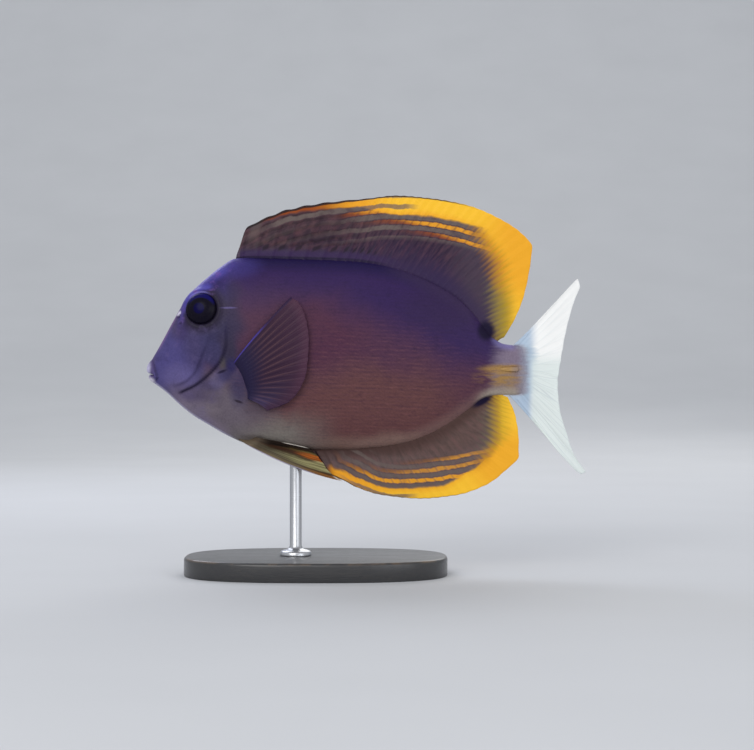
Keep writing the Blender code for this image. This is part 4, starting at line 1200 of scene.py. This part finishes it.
# %% [markdown]
# ## The fins' paint
# Dorsal and anal fin share one scheme: a brown-violet field, rows of orange and grey lines that run
# parallel to the margin, and a yellow margin that widens towards the tail. Every line is a wave over the
# stored distance from the margin. Noise that is stretched along the rays frays the lines' ends, because
# real pigment lies between the rays.

# %% Draw ribs and frayed lines
JOINT_SHARE = 0.035


def start_fin(name, coat=0.02, gloss=0.1):
    """A fin's finish, then its ray number, share from root to tip, distance from the margin, height over
    the body and distance to the nearest ray."""
    f = Finish(name, coat=coat, coat_roughness=0.3, gloss=gloss)
    ray, share, rim, rise = (f.attribute(key) for key in ("ray", "share", "rim", "rise"))
    return f, ray, share, rim, rise, abs(fraction(ray + 0.5) - 0.5)


def frayed_by(f, ray, share, stretch=3):
    """Noise drawn out along the rays, from about -0.5 to 0.5."""
    return f.noise(f.vector(ray * 2, share * stretch), 1, 3, 0.6) - 0.5


def branched(off_ray, share):
    """Ribs that fork a third of the way out, as a height from 0 to 1."""
    fork = abs(off_ray - share.ramp(0.35, 1, 0, 0.25))
    return fork.ramp(0.13, 0.02) * share.ramp(0.2, 0.5)


def ribbed(off_ray, share):
    """The height of the forked ribs and of the fine cross-joints on them."""
    cross_joints = share.wave(JOINT_SHARE).ramp(0, 0.25)
    return branched(off_ray, share) * 0.7 + cross_joints * off_ray.ramp(0.3, 0.1) * 0.3


print("rays have a joint every", JOINT_SHARE, "of their length")

# %% Paint the dorsal and the anal fin


def paint_median_fin(name, dorsal_side, deep, light, base_paint, margin, stripes, guide, yellow_front):
    """The paint of a fin on the back or the belly, whose colours are deep, light and base_paint at its root.

    margin holds (x from, x to, width from, width to) steps whose widths add up, stripes the first grey
    stripe's depth, their spacing and how deep they end, guide (z, x, bend, depth) of the curve that they
    follow at the back, and yellow_front the yellow's (x, x further in) and the (z, z) it leans between.
    """
    f, ray, share, rim, rise, off_ray = start_fin(name)
    x, _, z = f.place()
    up = 1 if dorsal_side else -1
    feather = frayed_by(f, ray, share, 6)
    streak = f.noise(f.vector(ray * 3.2, share * 2, 4), 1, 2, 0.6) - 0.5
    blotch = f.noise(f.vector(x * 0.3, z * 0.3, 2), 1, 3)
    drift = f.noise(f.vector(x * 0.16, z * 0.16, 7), 1, 2) - 0.5
    comb = (ray + streak * 0.3).wave(0.5) - 0.5

    guide_z, guide_x, bend, guide_depth = guide
    curve = (x - guide_x).at_least(0) ** 2 * bend + guide_z
    behind_curve = (curve - z) * up + guide_depth
    depth = rim + (behind_curve - rim) * x.ramp(0, 11)
    frayed = depth + feather * 0.7 + drift * 1.4
    width = 0
    for low, high, start, end in margin:
        width = x.ramp(low, high, start, end) + width
    (front_x, inner_x), (outer_z, inner_z) = yellow_front
    front = z.ramp(outer_z, inner_z, front_x, inner_x)
    front = front + z.ramp(98, 82, 0, 0.7) if dorsal_side else front
    crisp = z.ramp(84, 104, 0.7, 1.1) if dorsal_side else 1
    behind = ((x - front + streak * 2.4 + comb * 1.2) * crisp).ramp(-3, 2.8)
    start_x = margin[0][0]
    in_margin = ((frayed - width).ramp(0.55, -0.55) * x.ramp(start_x, start_x + 3)).at_least(behind)

    first, spacing, last = stripes
    stripe = (frayed - first - spacing * 0.25).wave(spacing)
    shallow = depth.ramp(last + 1, last - 2.2)
    broken = off_ray.ramp(0, 0.2, 0.65, 1)
    if dorsal_side:
        by_edge = depth.ramp(first + 1.6, first + 1) * x.ramp(-37, -27)
        grey = stripe.ramp(0.56, 0.2) * shallow * x.ramp(-16, 6, 0.15, 1).at_least(by_edge)
    else:
        grey = stripe.ramp(0.46, 0.14) * shallow * x.ramp(-11, -2) * depth.ramp(9, 12, 1, 0.5)
    reached = x - (depth - first) * 4
    dulled = 1 if dorsal_side else depth.ramp(5.5, 8, 1, 0.7)
    warm = stripe.ramp(0.5, 0.86) * shallow * reached.ramp(-26, -4) * broken * dulled
    warm = warm * x.ramp(-12, -4)
    front_lines = (frayed + 0.6).wave(2.3).ramp(0.45, 0.9) * x.ramp(4, -12)
    warm_paint = layered(f, (112, 62, 44), [
        (reached.ramp(-24, -8), "orange" if dorsal_side else (156, 100, 40)),
        (reached.ramp(-12, 0) * 0.9, "amber"),
    ])
    field = layered(f, f.mix(rim.ramp(17, 6.5), deep, light), [
        (x.ramp(2, -14) * rim.ramp(4.6, 6.6) * 0.35 if dorsal_side else None, (36, 22, 40)),
        (front_lines * 0.4, "soot"),
        (feather.ramp(-0.15, 0.35) * 0.28, "rose"),
        (feather.ramp(0.1, -0.3) * 0.28, "soot"),
        (rise.ramp(12, 2) * x.ramp(-4, 26) * 0.85 if dorsal_side else None, base_paint),
        (rise.ramp(5, 0.5) * 0.8, base_paint),
        ((x + streak * 6).ramp(22, 36) * rise.ramp(1, 9, 0.35, 1) * 0.75
         if dorsal_side else None, (72, 60, 74)),
        (grey * blotch.ramp(0.3, 0.55, 0.4, 0.85), "pewter"),
        (warm * blotch.ramp(0.3, 0.5, 0.65, 0.95), warm_paint),
        ((x - front + streak * 4 + comb * 2).ramp(-5.5, 0) * rise.ramp(1, 5) * 0.65,
         f.mix(rise.ramp(14, 19), (100, 94, 78), (158, 108, 52))),
    ])
    if dorsal_side:
        slanting = abs(rise - 3.3 - (fraction(ray) - 0.5) * 2.6)
        marks = off_ray.ramp(0.24, 0.4) * slanting.ramp(1.2, 0.3) * x.band(-38, -35, 0, 7)
        pale = abs(ray - 0.45).ramp(0.35, 0.1) + abs(ray - 1.6).ramp(0.4, 0.1) * rise.ramp(4, 8)
        field = layered(f, field, [
            (rise.ramp(3.2, 1.4) * x.ramp(16, 0), "fin violet"),
            (marks * 0.75, (28, 18, 32)),
            (pale * 0.35, "pewter"),
        ])
    fringe = (x - front).band(-6, -1, 1, 7) * rim.ramp(5, 9)
    gold = layered(f, "orange", [
        (x.ramp(-22, -34) * 0.6, (96, 36, 18)),
        (x.ramp(-18, -2) if dorsal_side else x.ramp(-14, -9), "amber"),
        (x.ramp(-4, 12) * 0.9, "yellow"),
        (x.ramp(30, 48) * patch(x, z, 50, 104, 16, 16, 0.5) * 0.75, "amber"),
        (x.ramp(24, 40) * patch(x, z, 46, 36, 16, 9, 0.5) * 0.7, "amber"),
        ((frayed - width).ramp(-2.4, 0) * x.band(-12, 4, 20, 46) * 0.7, "amber"),
        (grey * x.ramp(18, 12) * 0.8, "pewter"),
        ((x - front).ramp(5.5 if dorsal_side else 3, 0.5) * x.ramp(32, 37)
         * rim.ramp(4, 8) * 0.75, (204, 136, 32)),
        (rise.ramp(24, 11) * fringe * (0.9 if dorsal_side else 0.5), "lime"),
        (comb.ramp(0, 0.4) * fringe * 0.4, "lime"),
    ])
    hairline = x.ramp(-14, 4, 0.8, 0.42) if dorsal_side else x.ramp(-8, 4, 0.3, 0.16)
    colour = layered(f, f.mix(in_margin, field, gold), [
        *root_spots(x, z),
        ((rim - hairline).ramp(0.1, -0.16) * x.ramp(38, 24) * 0.9, "soot"),
        (ray.ramp(0.17, 0.05) * 0.9, "soot"),
        # On the dorsal fin, painted shade: ink along the root's front part, where it meets the back; the
        # anal fin gets its own root colour here
        (rise.ramp(0.7, 0.2) * x.ramp(10, 0) * 0.8, "ink" if dorsal_side else base_paint),
    ])
    scaly = scale_domes(x, z) * rise.ramp(4.5, 1.5)
    height = ribbed(off_ray, share) * rise.ramp(1, 4) + scaly + feather * 0.4
    return f.shade(Base_Color=colour, Roughness=feather.ramp(-0.3, 0.3, 0.36, 0.52),
                   Normal=f.bump(height, 0.035))


DORSAL_MARGIN = [(-35, -25, 0.7, 1.4), (-22, -8, 0, 0.9), (-4, 8, 0, 3.4)]
ANAL_MARGIN = [(-13.6, -10.6, 0, 2.2), (-8, 6, 0, 0.9), (24, 34.5, 0, 3.1), (34, 39.5, 0, 3.1)]
dress([dorsal], paint_median_fin(
    "dorsal_paint", True, (47, 32, 55), (66, 48, 57), (49, 36, 70), DORSAL_MARGIN, (3.1, 3.37, 13.5),
    (114.45, 8, -0.0054, 6.45), ((36.6, 41.8), (110, 98))))
dress([anal], paint_median_fin(
    "anal_paint", False, (92, 74, 70), (96, 80, 80), (72, 52, 48), ANAL_MARGIN, (3.8, 3.1, 13),
    (28.15, 10, 0.0046, 3.8), ((38.2, 41), (36, 44))))
print("dorsal and anal fin painted")

# %% Paint the tail fin


def paint_tail():
    f, ray, share, _, _, off_ray = start_fin("tail_paint", 0.05, 0.3)
    x, _, z = f.place()
    feather = frayed_by(f, ray, share)
    fold_shade_noise = f.noise(f.vector(ray * 1.1, share * 0.5, 5), 1, 1)
    colour = layered(f, "tail white", [
        *stalk_layers(f, x, z),
        (abs(z - 65.3).ramp(7.4, 8.6) * x.ramp(55.5, 51.5) * 0.9, (168, 186, 206)),
        (x.ramp(51.5, 54) * z.ramp(72, 66) * 0.85, (216, 225, 222)),
        (branched(off_ray, share) * 0.05, "tail shade"),
        # Painted shade: thin grey lines where the lower tail's membrane folds
        (abs(fold_shade_noise - 0.5).ramp(0.03, 0) * share.ramp(0.2, 0.4) * z.ramp(70, 60) * 0.3,
         (150, 160, 172)),
        (off_ray.ramp(0.08, 0) * share.ramp(0.1, 0.3) * 0.1, "tail shade"),
    ])
    return f.shade(Base_Color=colour, Roughness=0.45,
                   Normal=f.bump(ribbed(off_ray, share) + feather * 0.4, 0.045))


dress([tail], paint_tail())
print("tail fin painted")

# %% Paint the paired fins


def paint_pectoral():
    f, ray, share, rim, _, off_ray = start_fin("pectoral_paint")
    feather = frayed_by(f, ray, share)
    low = (ray + feather * 2).ramp(8, 12.5)
    lines = off_ray.ramp(0.16, 0.03) * share.band(0.16, 0.34, 0.55, 1)
    dark_lines = off_ray.ramp(0.3, 0.46) * share.band(0.1, 0.2, 0.4, 0.8)
    wedge = (share + ray.ramp(0, 15) * 0.1 + feather * 0.1).ramp(0.5, 0.16)
    colour = layered(f, (54, 33, 51), [
        (low * 0.8, (54, 43, 68)),
        ((ray + feather * 2).ramp(12, 14.5) * 0.8, (68, 57, 88)),
        ((share + feather * 0.25).ramp(0.55, 0.95) * 0.85, (62, 39, 58)),
        (dark_lines * 0.5, (32, 22, 46)),
        (lines * 0.36, (100, 68, 72)),
        (rim.ramp(4, 0.3) * (ray + feather).ramp(14, 10) * 0.75, (78, 49, 67)),
        (wedge * 0.92, (31, 27, 58)),
        (share.ramp(0.09, 0.03) * (ray + feather).ramp(9, 12) * 0.8, (72, 62, 92)),
        ((ray + feather * 0.2).ramp(0.42, 0.18) * share.ramp(0.75, 0.4), "edge violet"),
        (ray.ramp(0.45, 0.15) * share.ramp(0.45, 0.7), (44, 26, 58)),
    ])
    return f.shade(Base_Color=colour, Roughness=0.45,
                   Normal=f.bump(ribbed(off_ray, share) + feather * 0.4, 0.08))


def paint_pelvic():
    f, ray, share, _, _, off_ray = start_fin("pelvic_paint")
    feather = frayed_by(f, ray, share)
    streak = f.noise(f.vector(ray * 5, share * 1.4, 6), 1, 3, 0.6)
    lane = ray + feather * 1.1 + streak * 0.5
    toward_tip = (share + feather * 0.4).ramp(0.56, 0.9)
    colour = layered(f, (112, 100, 76), [
        (toward_tip * 0.85, (150, 92, 32)),
        (lane.ramp(1.1, 1.7), f.mix(toward_tip, (84, 74, 58), (62, 42, 24))),
        (lane.ramp(1.6, 2.2), f.mix(share.ramp(0.3, 0.8), (92, 86, 68), (146, 140, 98))),
        (lane.ramp(3.2, 3.6), f.mix(toward_tip * share, (60, 38, 26), (170, 88, 24))),
        (abs(lane - 3.3).ramp(0.3, 0.08) * share.ramp(0.95, 0.8) * 0.8, (58, 40, 26)),
        (lane.ramp(3.9, 4.3), f.mix(toward_tip, (84, 66, 40), (96, 80, 42))),
        ((lane + share.ramp(0.7, 0.2) * 0.8).ramp(4.3, 4.7), (26, 18, 14)),
        ((streak - 0.45).ramp(0, 0.15) * 0.6, (50, 36, 26)),
        (share.ramp(0.34, 0.1) * 0.6, (98, 84, 70)),
        (ray.ramp(0.4, 0.22) * share.band(0.06, 0.2, 0.66, 0.82) * 0.8, (176, 166, 196)),
        (share.ramp(0.95, 0.99) * ray.ramp(1.4, 0.9) * 0.8, (214, 206, 196)),
        # Painted highlight: a pale line along the upper edge of the last ray
        (ray.ramp(4.8, 4.94) * abs(share - 0.74).ramp(0.24, 0.12) * 0.9, (206, 198, 188)),
    ])
    return f.shade(Base_Color=colour, Roughness=0.45,
                   Normal=f.bump(ribbed(off_ray, share) + feather * 0.4, 0.08))


dress(pectorals, paint_pectoral())
dress(pelvics, paint_pelvic())
print("paired fins painted")

# %% [markdown]
# ## Eye, spine, board and rod
# The eye is nearly black, with a navy pupil, a blue crescent above and faint fibres in its iris. A strong
# gloss would grey it, so it has only a soft sheen. The tail spine is tan bone. The board is wood under satin
# black lacquer, which has sunk a little into the grain and is rubbed thin along the edge, and the rod is
# steel brushed round and round.

# %% Colour the eye and the tail spine
PUPIL_X, PUPIL_Z = -52.7, 84.8


def paint_eye():
    f = Finish("eye_gloss", roughness=0.3, coat=0.02, coat_roughness=0.08, gloss=0.05)
    x, _, z = f.place()
    reach = away(x, z, PUPIL_X, PUPIL_Z)
    turn = (z - PUPIL_Z).math("ARCTAN2", x - PUPIL_X)
    fibres = f.noise(f.vector(turn * 6, reach * 0.6), 1, 3)
    crescent = patch(x, z, EYE_X - 0.2, EYE_Z - 0.7, 4.3, 4.3, 0.08).ramp(1, 0) * z.ramp(85.4, 87.6)
    colour = layered(f, (14, 11, 26), [
        (fibres.ramp(0.35, 0.7) * 0.5, (22, 19, 28)),
        ((x - EYE_X).ramp(1, 4) * 0.6, (24, 21, 31)),
        (reach.ramp(2.7, 2.2) * 0.6, (18, 15, 28)),
        (reach.ramp(2, 1.4), (8, 4, 56)),
        (crescent * 0.8, (18, 14, 88)),
    ])
    return f.shade(Base_Color=colour)


def paint_spine():
    f = Finish("spine_bone", roughness=0.4, coat=0.12)
    x, _, z = f.place()
    grain = f.noise(f.vector(x * 0.5, z * 3), 1, 3)
    colour = layered(f, (168, 132, 72), [
        (grain.ramp(0.4, 0.65) * 0.6, (150, 110, 56)),
        (x.ramp(45.4, 47.6) * 0.9, "tan"),
    ])
    return f.shade(Base_Color=colour, Normal=f.bump(grain, 0.05))


dress(eyes, paint_eye())
dress(spines, paint_spine())
print("eyes and tail spines painted")

# %% Lacquer the board and brush the rod


def black_lacquer():
    f = Finish("black_lacquer", coat=0.3, coat_roughness=0.18)
    x, y, z = f.place()
    grain = f.noise(f.vector(x * 0.05, y * 1.6, z * 1.6), 1, 5, 0.65)
    pores = f.noise(f.vector(x * 0.22, y * 4, z * 4), 1, 2).ramp(0.58, 0.7)
    reach = abs((x - BASE_X) / (BASE_LENGTH / 2)) ** BASE_CORNERS + (y / (BASE_WIDTH / 2)) ** BASE_CORNERS
    edge = reach.ramp(0.91, 0.97) * z.ramp(BASE_HEIGHT - 0.9, BASE_HEIGHT - 0.3)
    rubbed = edge * f.noise(f.vector(x, y, z), 0.25, 4).ramp(0.42, 0.62)
    colour = layered(f, (44, 44, 46), [
        (grain.ramp(0.4, 0.7) * 0.5, (58, 55, 54)),
        (pores * 0.6, (26, 26, 28)),
        (rubbed * 0.5, (104, 84, 66)),
    ])
    return f.shade(Base_Color=colour, Roughness=grain.ramp(0.3, 0.7, 0.3, 0.44),
                   Normal=f.bump(grain * 0.6 - pores, 0.03))


def brushed_steel():
    f = Finish("brushed_steel", metallic=1)
    x, y, z = f.place()
    lines = f.noise(f.vector(x * 0.12, y * 0.12, z * 14), 1, 4, 0.7)
    colour = f.mix(lines, (168, 170, 174), (206, 208, 212))
    return f.shade(Base_Color=colour, Roughness=lines.ramp(0.2, 0.8, 0.24, 0.4),
                   Normal=f.bump(lines, 0.015))


dress([board], black_lacquer())
dress([rod], brushed_steel())
print("stand finished")

# %% Paint the floor


def floor_paint():
    f = Finish("studio_floor", roughness=0.85)
    x, y, z = f.place()
    mottle = f.noise(f.vector(x, y, z), 0.01)
    return f.shade(Base_Color=f.mix(mottle, (190, 192, 196), (198, 200, 204)))


dress([floor], floor_paint())
print("floor finished")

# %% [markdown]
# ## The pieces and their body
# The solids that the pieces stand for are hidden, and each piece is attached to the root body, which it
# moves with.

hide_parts("head", "lower_jaw", "gill_cover_left", "gill_cover_right", "trunk", "tail_stalk")
SLOTS = {"body_skin": [skin], "striped_fin": [dorsal, anal, *pelvics], "white_fin": [tail], "eye": eyes,
         "scalpel": spines, "stand_board": [board], "stand_rod": [rod], "plum_fin": pectorals}
for slot_name, pieces in SLOTS.items():
    for piece in pieces:
        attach(piece, "root")
print(sum(len(pieces) for pieces in SLOTS.values()), "pieces declared")

# %% End of the scene
print("scene built")
